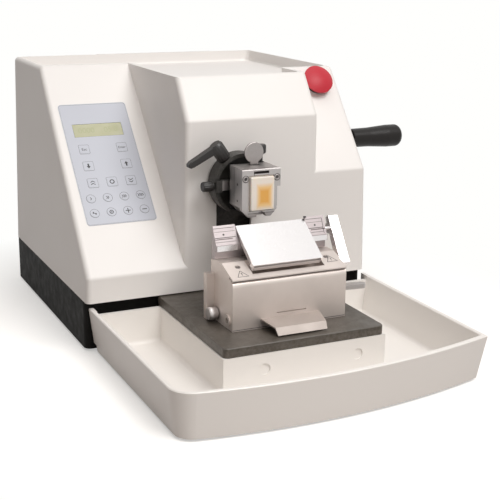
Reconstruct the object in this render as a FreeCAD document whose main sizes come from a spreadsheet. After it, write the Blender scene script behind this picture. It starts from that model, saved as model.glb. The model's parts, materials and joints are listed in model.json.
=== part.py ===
import FreeCAD, Part
import math
import os
import types

import Sketcher

# Rotary microtome with a motorised specimen feed, in millimetres.
# X runs to the right, Y to the back and Z up.  The origin is the middle of the housing's front
# foot on the underside of the base casting; the bench is one foot height lower.

os.makedirs("parts", exist_ok=True)
doc = FreeCAD.newDocument("rotary_microtome")

DRIVING_SIZES = [
    # Housing
    ("housing_half", 185, "half width at the foot"),
    ("housing_draft", 7, "how far each side leans in at the top"),
    ("housing_back", 337, "rear face"),
    ("housing_foot", 58, "height of the lower edge"),
    ("housing_top", 310, "height of the top rim"),
    ("wall", 4, "moulded wall"),
    ("edge_round", 6, "rounding of the outer edges"),
    ("left_step", -63.6, "side face between the left wing and the centre block"),
    ("right_step", 114, "side face between the centre block and the right wing"),
    ("centre_draft", 3, "lean of the centre block's sides at the top"),
    ("left_sill", 88, "height where the left wing starts to slope"),
    ("left_top", 202, "depth of the left wing's top edge"),
    ("centre_sill", 262.4, "height where the centre block starts to slope"),
    ("centre_top", 33, "depth of the centre block's top edge"),
    ("right_sill", 191, "height where the right wing starts to slope"),
    ("right_top", 88, "depth of the right wing's top edge"),
    ("well_depth", 15, "depth of the tool well in the top"),
    ("well_rim", 6, "rim round the tool well"),
    ("slot_half", 23, "half width of the specimen arm's slot"),
    ("slot_low", 104, "lower end of the slot"),
    ("slot_under", 92, "upper end of the slot below the top rim"),
    # Base
    ("base_front", 9, "front face of the base casting"),
    ("base_wall", 8, "side walls of the base casting"),
    ("base_floor", 6, "floor of the base casting"),
    ("tongue_half", 90, "half width of the front tongue"),
    ("tongue_front", -184, "front face of the tongue"),
    ("tongue_height", 46, "height of the tongue"),
    ("foot_radius", 14, "rubber feet"),
    ("foot_height", 2.5, "how far the feet stand proud"),
    ("foot_inset", 25, "feet from the casting's edges"),
    ("plate_lap", 6.5, "how far the slide plate stands out over the tongue"),
    ("plate_nose", 7.3, "how far its front edge stands out over the tongue"),
    ("plate_layer", 5.2, "thickness of each of its two layers"),
    ("slot_neck", 12, "width of the clamping slot's neck"),
    ("slot_tee", 22, "width of the clamping slot's channel"),
    ("slot_front", -176, "front end of the clamping slot"),
    ("slot_back", -50, "rear end of the clamping slot"),
    # Clearances
    ("gap", 0.3, "between pieces of different bodies"),
    ("run", 0.05, "running fit, per side"),
    # Waste tray
    ("tray_left_in", 4, "left outer face inside the housing's side"),
    ("tray_right_out", 6, "right outer face outside the housing's side"),
    ("tray_back", 7, "rear ends of the outer walls"),
    ("tray_height", 51, "outer wall height"),
    ("tray_wall", 5.5, "outer wall"),
    ("tray_lean", 6.5, "how far the outer walls lean in at the foot"),
    ("tray_floor", 4, "floor"),
    ("tray_corner", 26, "left front corner"),
    ("tray_front_left", -272, "front face where the bow starts"),
    ("tray_front_right", -252.5, "front face at the right corner"),
    ("tray_bow", 760, "radius of the bowed front"),
    ("island_wall", 4.5, "inner wall round the tongue"),
    ("dimple_radius", 6.3, "shallow round recesses in the inner wall"),
    # Main shaft and handwheel
    ("shaft_y", 170, "shaft axis depth"),
    ("shaft_under", 40, "shaft axis below the specimen arm's axis at the top of the stroke"),
    ("shaft_radius", 12, "main shaft"),
    ("stroke", 60, "vertical stroke of the specimen"),
    ("disc_radius", 42, "crank disc"),
    ("disc_left", 51, "left face of the crank disc"),
    ("disc_thick", 10, "crank disc"),
    ("pin_radius", 6, "crank pin roller"),
    ("wheel_radius", 100, "handwheel rim"),
    ("wheel_stand", 11, "handwheel's inner face from the housing's side"),
    ("wheel_width", 22, "rim width"),
    ("rim_depth", 16, "rim thickness, radially"),
    ("grip_reach", 88, "grip axis from the shaft axis"),
    ("grip_angle", 137, "grip direction seen from the right, from the back upwards"),
    ("grip_long", 79, "grip's end from the wheel's outer face"),
    ("grip_base_radius", 12.5, "grip at the wheel"),
    ("grip_end_radius", 15, "grip at its end"),
    # Vertical carriage and specimen arm
    ("arm_under", 28, "specimen arm axis below the slot's end at the top of the stroke"),
    ("arm_radius", 20, "specimen arm"),
    ("arm_back", 126, "rear end of the arm"),
    ("shield_y", 19, "front of the dust shield"),
    ("shield_half", 38, "half width of the dust shield"),
    ("carriage_half", 34, "half width of the carriage"),
    ("carriage_front", 24, "front of the carriage"),
    ("carriage_block", 84, "rear of the carriage's bearing block"),
    ("carriage_back", 152, "rear of the carriage"),
    ("carriage_tall", 30, "half height of the carriage"),
    ("way_half", 44, "tips of the carriage's guide ribs"),
    ("post_half", 56, "outer faces of the guide posts"),
    ("screw_radius", 5, "feed screw"),
    ("motor_half", 21, "stepping motor"),
    ("motor_length", 38, "stepping motor"),
    # Orienting head
    ("disc_back", -5, "rear face of the head flange"),
    ("flange_radius", 36.5, "head flange"),
    ("flange_thick", 10, "head flange"),
    ("flange_front", -26.5, "front edge of the flange's rim"),
    ("flange_rim", 4.5, "rim of the head flange"),
    ("lever_lean", -35, "lean of the locking lever's hub"),
    ("lever_y", -19, "depth of the locking lever"),
    ("gimbal_y", -23, "depth of the two orienting axes"),
    ("gimbal_half", 27.5, "half width of the tilting frame"),
    ("trunnion", 3, "trunnion pins of the tilting frame"),
    ("swivel_pin", 2.5, "pins of the swivel"),
    ("swivel_half", 16, "half height of the swivel's core"),
    # Cassette clamp
    ("clamp_x", 2, "middle of the clamp"),
    ("clamp_half", 24, "half width of the clamp"),
    ("clamp_back", -34, "rear face"),
    ("clamp_front", -70, "front face"),
    ("clamp_down", 29, "lower edge below the arm's axis"),
    ("clamp_up", 26, "upper edge above the arm's axis"),
    ("clamp_plate", 6, "front plate"),
    ("cassette_half", 15.3, "half width of the cassette"),
    ("cassette_down", 21.7, "lower edge of the cassette below the arm's axis"),
    ("cassette_up", 18.2, "upper edge of the cassette above the arm's axis"),
    ("wax_front", -74, "front face of the wax block"),
    # Knife holder
    ("holder_left", -68, "left side"),
    ("holder_right", 71, "right side"),
    ("holder_front", -148, "front face"),
    ("shoulder_low", 106, "foot of the rounded front shoulder"),
    ("shoulder", 8, "radius of the front shoulder"),
    ("holder_top", 126, "level ledge behind the sloping plate"),
    ("slope_front", 114.8, "sloping plate's upper face at the front"),
    ("slope_back", -118, "rear end of the sloping plate"),
    ("slope_angle", 20.5, "slope of the plate"),
    ("slope_plate", 2, "sloping plate"),
    ("edge_y", -89.5, "cutting edge, depth"),
    ("edge_z", 158, "cutting edge, height"),
    ("seat_radius", 34, "round seat under the blade carrier"),
    ("saddle_front", -98, "front of the rear saddle"),
    ("saddle_half", 77, "half width of the rear saddle"),
    ("saddle_top", 109.5, "top of the rear saddle"),
    ("guard_angle", 35, "slope of the pressure plate"),
    ("guard_long", 58.8, "length of the pressure plate down its slope"),
    ("guard_left", -38, "left edge of the pressure plate"),
    ("guard_right", 44, "right edge of the pressure plate"),
    ("guard_thick", 1.5, "pressure plate"),
    ("carrier_top", 161, "top edge of the blade carrier"),
    ("bed_drop", 1.9, "bed plate below the blade"),
    ("bed_thick", 5, "bed plate under the pressure plate"),
    # Safety stop
    ("stop_in", 38, "middle of the safety stop from the housing's side"),
    ("stop_reach", 124, "safety stop up the right slope"),
    ("stop_radius", 19.5, "mushroom head"),
    ("stop_travel", 4, "push travel"),
    # Control panel on the left slope, by distance up the slope
    ("panel_left_in", 17.2, "left edge from the housing's side"),
    ("panel_right_in", 17.1, "right edge from the step to the centre block"),
    ("panel_low", 68.3, "lower edge"),
    ("panel_high", 240, "upper edge"),
    ("panel_skin", 0.5, "overlay thickness"),
    ("display_left_in", 11.8, "left edge of the display from the panel's edge"),
    ("display_right_in", 12.3, "right edge of the display from the panel's edge"),
    ("display_low", 191.5, "lower edge of the display"),
    ("display_high", 210.3, "upper edge of the display"),
]


class Size:
    """A value together with the spreadsheet expression that it comes from."""

    def __init__(self, value, text):
        self.value = value
        self.text = text

    def __add__(self, other):
        other = as_size(other)
        return Size(self.value + other.value, "(" + self.text + " + " + other.text + ")")

    def __sub__(self, other):
        other = as_size(other)
        return Size(self.value - other.value, "(" + self.text + " - " + other.text + ")")

    def __mul__(self, other):
        other = as_size(other)
        return Size(self.value * other.value, "(" + self.text + " * " + other.text + ")")

    def __truediv__(self, other):
        other = as_size(other)
        return Size(self.value / other.value, "(" + self.text + " / " + other.text + ")")

    def __radd__(self, other):
        return as_size(other) + self

    def __rsub__(self, other):
        return as_size(other) - self

    def __rmul__(self, other):
        return as_size(other) * self

    def __neg__(self):
        return Size(-self.value, "(0 - " + self.text + ")")


def as_size(value):
    if isinstance(value, Size):
        return value
    return Size(float(value), "(" + repr(float(value)) + ")")


def cosine(angle):
    angle = as_size(angle)
    return Size(math.cos(math.radians(angle.value)), "cos(" + angle.text + ")")


def sine(angle):
    angle = as_size(angle)
    return Size(math.sin(math.radians(angle.value)), "sin(" + angle.text + ")")


def root(square):
    return Size(math.sqrt(square.value), "sqrt(" + square.text + ")")


def angle_of(rise, run):
    """Angle in degrees whose tangent is rise over run."""
    ratio = rise / run
    return Size(math.degrees(math.atan(ratio.value)), "(atan(" + ratio.text + ") / 1 deg)")


def fill_sheet():
    """Writes the driving sizes to the spreadsheet and returns them as named values."""
    sheet = doc.addObject("Spreadsheet::Sheet", "Sizes")
    named = types.SimpleNamespace()
    for row, (name, value, note) in enumerate(DRIVING_SIZES, start=1):
        sheet.set("A" + str(row), name)
        sheet.set("B" + str(row), repr(float(value)))
        sheet.set("C" + str(row), note)
        sheet.setAlias("B" + str(row), name)
        setattr(named, name, Size(float(value), "Sizes." + name))
    doc.recompute()
    return named


d = fill_sheet()
nodes = {}


def bind(target, prop, value):
    target.setExpression(prop, as_size(value).text)


def body(name, kept=True):
    """Starts the PartDesign body of one sub-part, or of a shape that only helps to make one."""
    made = doc.addObject("PartDesign::Body", name)
    made.Label = name
    made.AllowCompound = True
    if kept:
        nodes[name] = made
    return made


def cut_from(name, base, tools):
    """A sub-part made by cutting shapes out of another."""
    made = doc.addObject("Part::Cut", name)
    made.Base = base
    if len(tools) == 1:
        made.Tool = tools[0]
    else:
        joined = doc.addObject("Part::MultiFuse", name + "_tools")
        joined.Shapes = tools
        made.Tool = joined
    made.Label = name
    nodes[name] = made
    return made


def place(target, x=0, y=0, z=0, axis=None, angle=0):
    """Puts a body at a point, turned about an axis of the frame."""
    if axis is not None:
        start = as_size(angle).value
        target.Placement = FreeCAD.Placement(FreeCAD.Vector(), FreeCAD.Rotation(axis, start))
        bind(target, ".Placement.Rotation.Angle", angle)
    bind(target, ".Placement.Base.x", x)
    bind(target, ".Placement.Base.y", y)
    bind(target, ".Placement.Base.z", z)


AXIS_X = FreeCAD.Vector(1, 0, 0)
AXIS_Y = FreeCAD.Vector(0, 1, 0)
PLANES = {"X": "YZ_Plane", "Y": "XZ_Plane", "Z": "XY_Plane"}


def sketch_on(owner, along, offset):
    """A sketch square to an axis.  Its coordinates are the other two axes in X, Y, Z order."""
    made = owner.newObject("Sketcher::SketchObject", owner.Name + "_sketch")
    for feature in owner.Origin.OriginFeatures:
        if feature.Role == PLANES[along]:
            made.AttachmentSupport = [(feature, "")]
    made.MapMode = "FlatFace"
    bind(made, ".AttachmentOffset.Base.z", offset)
    return made


def fix_point(made, shape, point, across, up):
    """Ties a point of a sketch to its two coordinates."""
    for kind, value in (("DistanceX", across), ("DistanceY", up)):
        value = as_size(value)
        number = made.addConstraint(Sketcher.Constraint(kind, -1, 1, shape, point, value.value))
        made.setExpression("Constraints[" + str(number) + "]", value.text)


def arc_through(start, end, radius):
    """Arc from start to end; a positive radius keeps its centre on the left of the way."""
    middle = (start + end) * 0.5
    chord = end - start
    across = FreeCAD.Vector(-chord.y, chord.x, 0).normalize()
    height = math.sqrt(max(radius * radius - chord.Length * chord.Length / 4, 0))
    side = 1 if radius > 0 else -1
    centre = middle + across * (height * side)
    return Part.Arc(start, centre - across * radius, end)


def draw_outline(made, corners):
    """Draws a closed outline.  A corner's third value is the radius of the arc that follows it."""
    points = [FreeCAD.Vector(as_size(c[0]).value, as_size(c[1]).value, 0) for c in corners]
    first = made.GeometryCount
    count = len(corners)
    starts = []
    ends = []
    for i in range(count):
        here = points[i]
        there = points[(i + 1) % count]
        if len(corners[i]) == 3:
            radius = as_size(corners[i][2])
            made.addGeometry(arc_through(here, there, radius.value), False)
            turned_left = radius.value > 0
            starts.append(1 if turned_left else 2)
            ends.append(2 if turned_left else 1)
        else:
            made.addGeometry(Part.LineSegment(here, there), False)
            starts.append(1)
            ends.append(2)
    for i in range(count):
        after = (i + 1) % count
        made.addConstraint(Sketcher.Constraint("Coincident", first + i, ends[i], first + after, starts[after]))
    for i in range(count):
        fix_point(made, first + i, starts[i], corners[i][0], corners[i][1])
        if len(corners[i]) == 3:
            radius = as_size(corners[i][2])
            bound = radius if radius.value > 0 else -radius
            number = made.addConstraint(Sketcher.Constraint("Radius", first + i, bound.value))
            made.setExpression("Constraints[" + str(number) + "]", bound.text)


def draw_circle(made, across, up, radius):
    across = as_size(across)
    up = as_size(up)
    radius = as_size(radius)
    centre = FreeCAD.Vector(across.value, up.value, 0)
    shape = made.addGeometry(Part.Circle(centre, FreeCAD.Vector(0, 0, 1), radius.value), False)
    fix_point(made, shape, 3, across, up)
    number = made.addConstraint(Sketcher.Constraint("Radius", shape, radius.value))
    made.setExpression("Constraints[" + str(number) + "]", radius.text)


def rectangle(left, right, low, high):
    return [(left, low), (right, low), (right, high), (left, high)]


def round_rectangle(left, right, low, high, radius):
    return [
        (left + radius, low), (right - radius, low, radius),
        (right, low + radius), (right, high - radius, radius),
        (right - radius, high), (left + radius, high, radius),
        (left, high - radius), (left, low + radius, radius),
    ]


def slab(owner, along, low, high, outlines=(), circles=(), cut=False):
    """Adds, or cuts, what a sketch shows between two levels of an axis."""
    start = -high if along == "Y" else as_size(low)
    made = sketch_on(owner, along, start)
    for corners in outlines:
        draw_outline(made, corners)
    for circle in circles:
        draw_circle(made, *circle)
    kind = "PartDesign::Pocket" if cut else "PartDesign::Pad"
    feature = owner.newObject(kind, owner.Name + ("_pocket" if cut else "_pad"))
    feature.Profile = made
    bind(feature, "Length", high - low)
    if cut:
        feature.Reversed = True
    return feature


def spin(owner, outline, cut=False):
    """Turns an outline of radius and height about the body's own upright axis."""
    made = sketch_on(owner, "Y", 0)
    draw_outline(made, outline)
    kind = "PartDesign::Groove" if cut else "PartDesign::Revolution"
    feature = owner.newObject(kind, owner.Name + "_turned")
    feature.Profile = made
    feature.ReferenceAxis = (made, ["V_Axis"])
    feature.Angle = 360
    return feature


def turned(name, outline, x=0, y=0, z=0, axis=None, angle=0):
    """A turned sub-part."""
    made = body(name)
    spin(made, outline)
    place(made, x, y, z, axis, angle)
    return made


def edges_where(owner, chosen):
    """Names of the body's edges for which chosen(edge, centre) is true."""
    doc.recompute()
    names = []
    for number, edge in enumerate(owner.Tip.Shape.Edges, start=1):
        if chosen(edge, edge.BoundBox.Center):
            names.append("Edge" + str(number))
    return names


def soften(owner, size, chosen, kind="Fillet"):
    """Rounds or chamfers the chosen edges of the body."""
    names = edges_where(owner, chosen)
    base = owner.Tip
    feature = owner.newObject("PartDesign::" + kind, owner.Name + "_" + kind.lower())
    feature.Base = (base, names)
    bind(feature, "Radius" if kind == "Fillet" else "Size", size)
    return feature


def runs_along(edge, axis):
    """True for a straight edge that lies along the axis."""
    if edge.Curve.TypeId != "Part::GeomLine":
        return False
    return abs(edge.tangentAt(edge.FirstParameter).dot(axis)) > 0.999


def near(a, b, reach=0.05):
    return abs(a - as_size(b).value) < reach


# Levels, places and slopes that several sub-parts share
slot_high = d.housing_top - d.slot_under
arm_z = slot_high - d.arm_under
shaft_z = arm_z - d.shaft_under
clamp_low = arm_z - d.clamp_down
clamp_high = arm_z + d.clamp_up
cassette_low = arm_z - d.cassette_down
cassette_high = arm_z + d.cassette_up
wheel_left = d.housing_half + d.wheel_stand
wheel_face = wheel_left + d.wheel_width
plate_half = d.tongue_half + d.plate_lap
plate_front = d.tongue_front - d.plate_nose
tray_left = -d.housing_half + d.tray_left_in
tray_right = d.housing_half + d.tray_right_out
stop_x = d.housing_half - d.stop_in
panel_left = -d.housing_half + d.panel_left_in
panel_right = d.left_step - d.panel_right_in
display_left = panel_left + d.display_left_in
display_right = panel_right - d.display_right_in
deck = d.tongue_height + d.plate_layer * 2
holder_foot = deck + d.gap
roof = d.housing_top - d.well_depth - d.wall
left_slope = angle_of(d.housing_top - d.left_sill, d.left_top)
right_slope = angle_of(d.housing_top - d.right_sill, d.right_top)
carrier_back = d.edge_y
holder_back = d.edge_y
plate_screw_x = d.tongue_half - 20
plate_screw_ys = (d.tongue_front + 20, -22)
PLATE_SCREW = 3
grip_y = d.shaft_y + d.grip_reach * cosine(d.grip_angle)
grip_z = shaft_z + d.grip_reach * sine(d.grip_angle)


def mirrored(value):
    return (-value, value)


# Base

def feet_centres():
    side = d.housing_half - d.foot_inset
    back = d.housing_back - d.foot_inset
    front = d.base_front + d.foot_inset
    tongue = d.tongue_half - d.foot_inset
    nose = d.tongue_front + d.foot_inset
    return [(-side, front), (side, front), (-side, back), (side, back), (-tongue, nose), (tongue, nose)]


def plate_screw_centres():
    return [(x, y) for x in mirrored(plate_screw_x) for y in plate_screw_ys]


def base_casting():
    """Open tub under the housing, with a hollow tongue that carries the slide plate."""
    made = body("base_casting")
    half = d.housing_half
    rear = d.base_front + d.base_wall
    slab(made, "Z", 0, d.housing_foot, [rectangle(-half, half, d.base_front, d.housing_back)])
    slab(made, "Z", 0, d.tongue_height, [rectangle(-d.tongue_half, d.tongue_half, d.tongue_front, rear)])
    soften(made, 8, lambda edge, at: runs_along(edge, FreeCAD.Vector(0, 0, 1)) and near(abs(at.x), half))
    inner = half - d.base_wall
    back = d.housing_back - d.base_wall
    slab(made, "Z", d.base_floor, d.housing_foot, [rectangle(-inner, inner, rear, back)], cut=True)
    hollow = d.tongue_half - d.base_wall
    nose = d.tongue_front + d.base_wall
    slab(made, "Z", d.base_floor, d.tongue_height, [rectangle(-hollow, hollow, nose, 0)], cut=True)
    bosses = [(x, y, 9) for x, y in plate_screw_centres()]
    slab(made, "Z", d.base_floor, d.tongue_height, circles=bosses)
    heads = [(x, y, PLATE_SCREW * 2) for x, y in plate_screw_centres()]
    slab(made, "Z", 0, 9, circles=heads, cut=True)
    shanks = [(x, y, PLATE_SCREW * 1.1) for x, y in plate_screw_centres()]
    slab(made, "Z", 9, d.tongue_height, circles=shanks, cut=True)
    sockets = [(x, y, d.foot_radius + 0.2) for x, y in feet_centres()]
    slab(made, "Z", 0, 1.5, circles=sockets, cut=True)


def rubber_feet():
    made = body("rubber_feet")
    rounds = [(x, y, d.foot_radius) for x, y in feet_centres()]
    slab(made, "Z", -d.foot_height, 1.5, circles=rounds)
    low = -d.foot_height
    soften(made, 0.8, lambda edge, at: near(at.z, low), "Chamfer")


def slide_plate(name, low, half_slot, front, back, screw_radius):
    """One of the two layers of the slide plate, with its part of the clamping slot."""
    made = body(name)
    rear = d.base_front - d.gap
    outline = round_rectangle(-plate_half, plate_half, plate_front, rear, 6)
    slab(made, "Z", low, low + d.plate_layer, [outline])
    slab(made, "Z", low, low + d.plate_layer, [rectangle(-half_slot, half_slot, front, back)], cut=True)
    holes = [(x, y, screw_radius) for x, y in plate_screw_centres()]
    slab(made, "Z", low, low + d.plate_layer - 1, circles=holes, cut=True)
    return made


def slide_plates():
    low = d.tongue_height
    slide_plate("slide_plate_lower", low, d.slot_tee / 2, d.slot_front, d.slot_back, PLATE_SCREW * 1.1)
    lower = doc.getObject("slide_plate_lower")
    holes = [(x, y, PLATE_SCREW * 1.1) for x, y in plate_screw_centres()]
    slab(lower, "Z", low, low + d.plate_layer, circles=holes, cut=True)
    upper = slide_plate("slide_plate_upper", low + d.plate_layer, d.slot_neck / 2, d.slot_front,
                        d.slot_back, PLATE_SCREW + d.run)
    top = deck
    soften(upper, 0.8, lambda edge, at: near(at.z, top) and abs(at.x) > 60, "Chamfer")


def plate_screws():
    made = body("plate_screws")
    heads = [(x, y, PLATE_SCREW * 1.7) for x, y in plate_screw_centres()]
    slab(made, "Z", 3, 9, circles=heads)
    shanks = [(x, y, PLATE_SCREW) for x, y in plate_screw_centres()]
    slab(made, "Z", 9, deck - 1.5, circles=shanks)
    sockets = [(x, y, 2.5) for x, y in plate_screw_centres()]
    slab(made, "Z", 3, 6, circles=sockets, cut=True)


# Housing

def sloped_profile(inset, low, sill, slope_top):
    """Side view of a block whose front is upright and then slopes back to the top."""
    return [
        (inset, low), (d.housing_back - inset, low), (d.housing_back - inset, d.housing_top),
        (inset + slope_top, d.housing_top), (inset, sill),
    ]


def lean_sides(made, inset):
    """Cuts the housing's sides to their draft."""
    half = d.housing_half - inset
    top = d.housing_top
    foot = d.housing_foot
    lean = half - d.housing_draft
    far = half + 1
    slab(made, "Y", inset - 1, d.housing_back + 1, [
        [(half, foot), (far, foot), (far, top), (lean, top)],
        [(-half, foot), (-lean, top), (-far, top), (-far, foot)],
    ], cut=True)


def wing(name, inset, side):
    """One wing of the housing: side is -1 for the left one and 1 for the right one."""
    made = body(name, kept=False)
    low = d.housing_foot - inset
    lap = d.edge_round + d.centre_draft + 2
    half = d.housing_half - inset
    if side < 0:
        profile = sloped_profile(inset, low, d.left_sill, d.left_top)
        slab(made, "X", -half, d.left_step + lap, [profile])
    else:
        profile = sloped_profile(inset, low, d.right_sill, d.right_top)
        slab(made, "X", d.right_step - lap, half, [profile])
    lean_sides(made, inset)
    return made


def centre_block(name, inset):
    """The centre block of the housing, with its leaning sides and sloping brow."""
    made = body(name, kept=False)
    low = d.housing_foot - inset
    left = d.left_step + inset
    right = d.right_step - inset
    top = d.housing_top
    brow = d.centre_draft
    slab(made, "Y", inset, d.housing_back - inset, [
        [(left, low), (right, low), (right - brow, top), (left + brow, top)],
    ])
    ahead = inset - 1
    sill = d.centre_sill
    over = inset + d.centre_top
    slab(made, "X", left - 1, right + 1, [
        [(ahead, sill), (inset, sill), (over, top), (over, top + 1), (ahead, top + 1)],
    ], cut=True)
    return made


def outer_form():
    """The housing's outer form, rounded block by block and then joined."""
    left = wing("left_wing", 0, -1)
    right = wing("right_wing", 0, 1)
    centre = centre_block("centre_form", 0)
    foot = d.housing_foot
    lap = d.edge_round + d.centre_draft + 2
    for made, inner in ((left, d.left_step + lap), (right, d.right_step - lap)):
        inside = inner.value
        soften(made, d.edge_round, lambda edge, at, inside=inside: (
            not near(at.z, foot) and abs(at.x - inside) > 0.5
            and not (near(at.x, (inside + math.copysign(d.housing_half.value, inside)) / 2, 8)
                     and near(at.y, d.housing_back) and at.z < 200)))
    soften(centre, d.edge_round, lambda edge, at: not near(at.z, foot) and at.y < 150)
    joined = doc.addObject("Part::MultiFuse", "housing_outside")
    joined.Shapes = [left, right, centre]
    return joined


def cavity():
    """The space inside the housing, up to the underside of the tool well."""
    left = wing("left_cavity", d.wall, -1)
    right = wing("right_cavity", d.wall, 1)
    centre = centre_block("centre_cavity", d.wall)
    joined = doc.addObject("Part::MultiFuse", "cavity_full")
    joined.Shapes = [left, right, centre]
    lid = body("cavity_lid", kept=False)
    half = d.housing_half + 1
    slab(lid, "Z", roof, d.housing_top + 2, [rectangle(-half, half, -1, d.housing_back + 1)])
    made = doc.addObject("Part::Cut", "cavity")
    made.Base = joined
    made.Tool = lid
    return made


def tool_well():
    """The shallow well in the top, which follows the outline of the three blocks."""
    made = body("tool_well", kept=False)
    rim = d.well_rim
    side = d.housing_half - d.housing_draft - rim
    left = d.left_step + d.centre_draft + rim
    right = d.right_step - d.centre_draft - rim
    slab(made, "Z", d.housing_top - d.well_depth, d.housing_top + 1, [[
        (-side, d.housing_back - rim), (-side, d.left_top + rim), (left, d.left_top + rim),
        (left, d.centre_top + rim), (right, d.centre_top + rim), (right, d.right_top + rim),
        (side, d.right_top + rim), (side, d.housing_back - rim),
    ]])
    soften(made, 8, lambda edge, at: runs_along(edge, FreeCAD.Vector(0, 0, 1)))
    floor = d.housing_top - d.well_depth
    soften(made, 3, lambda edge, at: near(at.z, floor))
    return made


REAR_OPENING = (-98, 98, 87, 183)
REAR_LAP = 7
INLET = (62, 112)
ROCKER = (20, 112)
ROCKER_PIN = 1.5
ROCKER_PINS = 7.2


def wall_openings():
    """Slot for the specimen arm, shaft hole and rear opening."""
    made = body("wall_openings", kept=False)
    slot = round_rectangle(-d.slot_half, d.slot_half, d.slot_low, slot_high, 3)
    slab(made, "Y", -2, d.wall + 2, [slot])
    outside = d.housing_half + 1
    slab(made, "X", outside - d.housing_draft - d.wall - 2, outside, circles=[(d.shaft_y, shaft_z, 17)])
    slab(made, "Y", d.housing_back - d.wall - 2, d.housing_back + 1, [rectangle(*REAR_OPENING)])
    return made


def place_on_left_slope(made):
    place(made, 0, 0, d.left_sill, AXIS_X, left_slope)


def place_on_right_slope(made):
    along_y = d.stop_reach * cosine(right_slope)
    along_z = d.right_sill + d.stop_reach * sine(right_slope)
    place(made, stop_x, along_y, along_z, AXIS_X, right_slope)


def housing_shell():
    """Moulded shell with its three blocks, tool well and openings."""
    display = body("display_opening", kept=False)
    window = rectangle(display_left, display_right, d.display_low, d.display_high)
    slab(display, "Z", -d.wall - 4, 3, [window])
    place_on_left_slope(display)
    stop_hole = body("stop_opening", kept=False)
    slab(stop_hole, "Z", -36, 3, circles=[(0, 0, 11.2)])
    place_on_right_slope(stop_hole)
    cut_from("housing_shell", outer_form(), [cavity(), tool_well(), wall_openings(), display, stop_hole])


# Control panel

PANEL_SQUARES = ((-24, 173.6), (24, 173.6), (-24, 149.6), (24, 149.6), (-24, 125.6), (0, 125.6), (24, 125.6))
PANEL_ROUNDS = tuple((x, s) for s in (104.3, 84.3) for x in (-31.2, -10.4, 10.4, 31.2))
KEY_HALF = 6
KEY_ROUND = 5.2


def keypad_overlay():
    """Flat membrane keypad with slightly raised keys and a window for the display."""
    made = body("keypad_overlay")
    edge = round_rectangle(panel_left, panel_right, d.panel_low, d.panel_high, 4)
    window = rectangle(display_left, display_right, d.display_low, d.display_high)
    slab(made, "Z", 0, d.panel_skin, [edge, window])
    middle = (panel_left + panel_right) / 2
    squares = [round_rectangle(middle + x - KEY_HALF, middle + x + KEY_HALF, s - KEY_HALF, s + KEY_HALF, 1.5)
               for x, s in PANEL_SQUARES]
    rounds = [(middle + x, s, KEY_ROUND) for x, s in PANEL_ROUNDS]
    slab(made, "Z", d.panel_skin, d.panel_skin + 0.3, squares, rounds)
    place_on_left_slope(made)


def display_window():
    made = body("display_window")
    ease = 0.3
    slab(made, "Z", -3, d.panel_skin - 0.2, [rectangle(
        display_left + ease, display_right - ease, d.display_low + ease, d.display_high - ease)])
    place_on_left_slope(made)


def control_board():
    """Board with the display module, controller and sockets, on four posts behind the panel."""
    made = body("control_board")
    low = -17
    top = low + 1.6
    left = panel_left + 6
    right = panel_right - 6
    slab(made, "Z", low, top, [rectangle(left, right, d.panel_low, d.panel_high)])
    slab(made, "Z", top, -4, [rectangle(display_left - 3, display_right + 3, d.display_low - 4,
                                        d.display_high + 4)])
    posts = [(x, s, 3) for x in (left + 5, right - 5) for s in (d.panel_low + 6, d.panel_high - 6)]
    slab(made, "Z", top, -3.4, circles=posts)
    chips = [rectangle(left + 20, left + 34, s, s + 14) for s in (90, 115, 140)]
    slab(made, "Z", low - 3, low, chips)
    sockets = [rectangle(right - 30, right - 12, s, s + 8) for s in (85, 105, 125)]
    slab(made, "Z", low - 9, low, sockets)
    place_on_left_slope(made)


def power_supply():
    """Enclosed supply on the base floor."""
    made = body("power_supply")
    left = -d.housing_half + d.base_wall + 14
    right = left + 70
    back = d.housing_back - d.base_wall - 12
    front = back - 120
    low = d.base_floor
    slab(made, "Z", low, low + 38, [rectangle(left, right, front, back)])
    slab(made, "Z", low, low + 2, [rectangle(left - 8, right + 8, front + 20, back - 20)])
    slots = [rectangle(left + 12, right - 12, front + 12 + 14 * i, front + 18 + 14 * i) for i in range(7)]
    slab(made, "Z", low + 35, low + 38, slots, cut=True)


# Rear of the housing

def rear_panel():
    """Sheet cover over the rear opening, with vents, inlet and switch cut-outs."""
    made = body("rear_panel")
    left, right, low, high = REAR_OPENING
    lap = REAR_LAP
    face = d.housing_back
    edge = round_rectangle(as_size(left - lap), right + lap, low - lap, high + lap, 5)
    slab(made, "Y", face, face + 1.5, [edge])
    vents = [rectangle(-80, -20, z, z + 3) for z in (100, 108, 116, 124, 132, 140, 148)]
    slab(made, "Y", face, face + 1.5, vents, cut=True)
    x, z = INLET
    slab(made, "Y", face, face + 1.5, [rectangle(x - 14, x + 14, z - 10, z + 10)], cut=True)
    x, z = ROCKER
    slab(made, "Y", face, face + 1.5, [rectangle(x - 8, x + 8, z - 12, z + 12)], cut=True)
    slab(made, "Y", face, face + 1.5, circles=[(x, z, 1.7) for x, z in rear_screw_centres()], cut=True)


def rear_screw_centres():
    left, right, low, high = REAR_OPENING
    inset = REAR_LAP / 2
    return [(x, z) for x in (left - inset, right + inset) for z in (low - inset, (low + high) / 2, high + inset)]


def rear_panel_screws():
    made = body("rear_panel_screws")
    face = d.housing_back + 1.5
    slab(made, "Y", face, face + 1.6, circles=[(x, z, 3) for x, z in rear_screw_centres()])
    slab(made, "Y", face - 1.5, face, circles=[(x, z, 1.6) for x, z in rear_screw_centres()])
    soften(made, 0.8, lambda edge, at: near(at.y, face + 1.6), "Fillet")
    slots = [rectangle(x - 3, x + 3, z - 0.4, z + 0.4) for x, z in rear_screw_centres()]
    slab(made, "Y", face + 0.8, face + 2, slots, cut=True)


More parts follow.
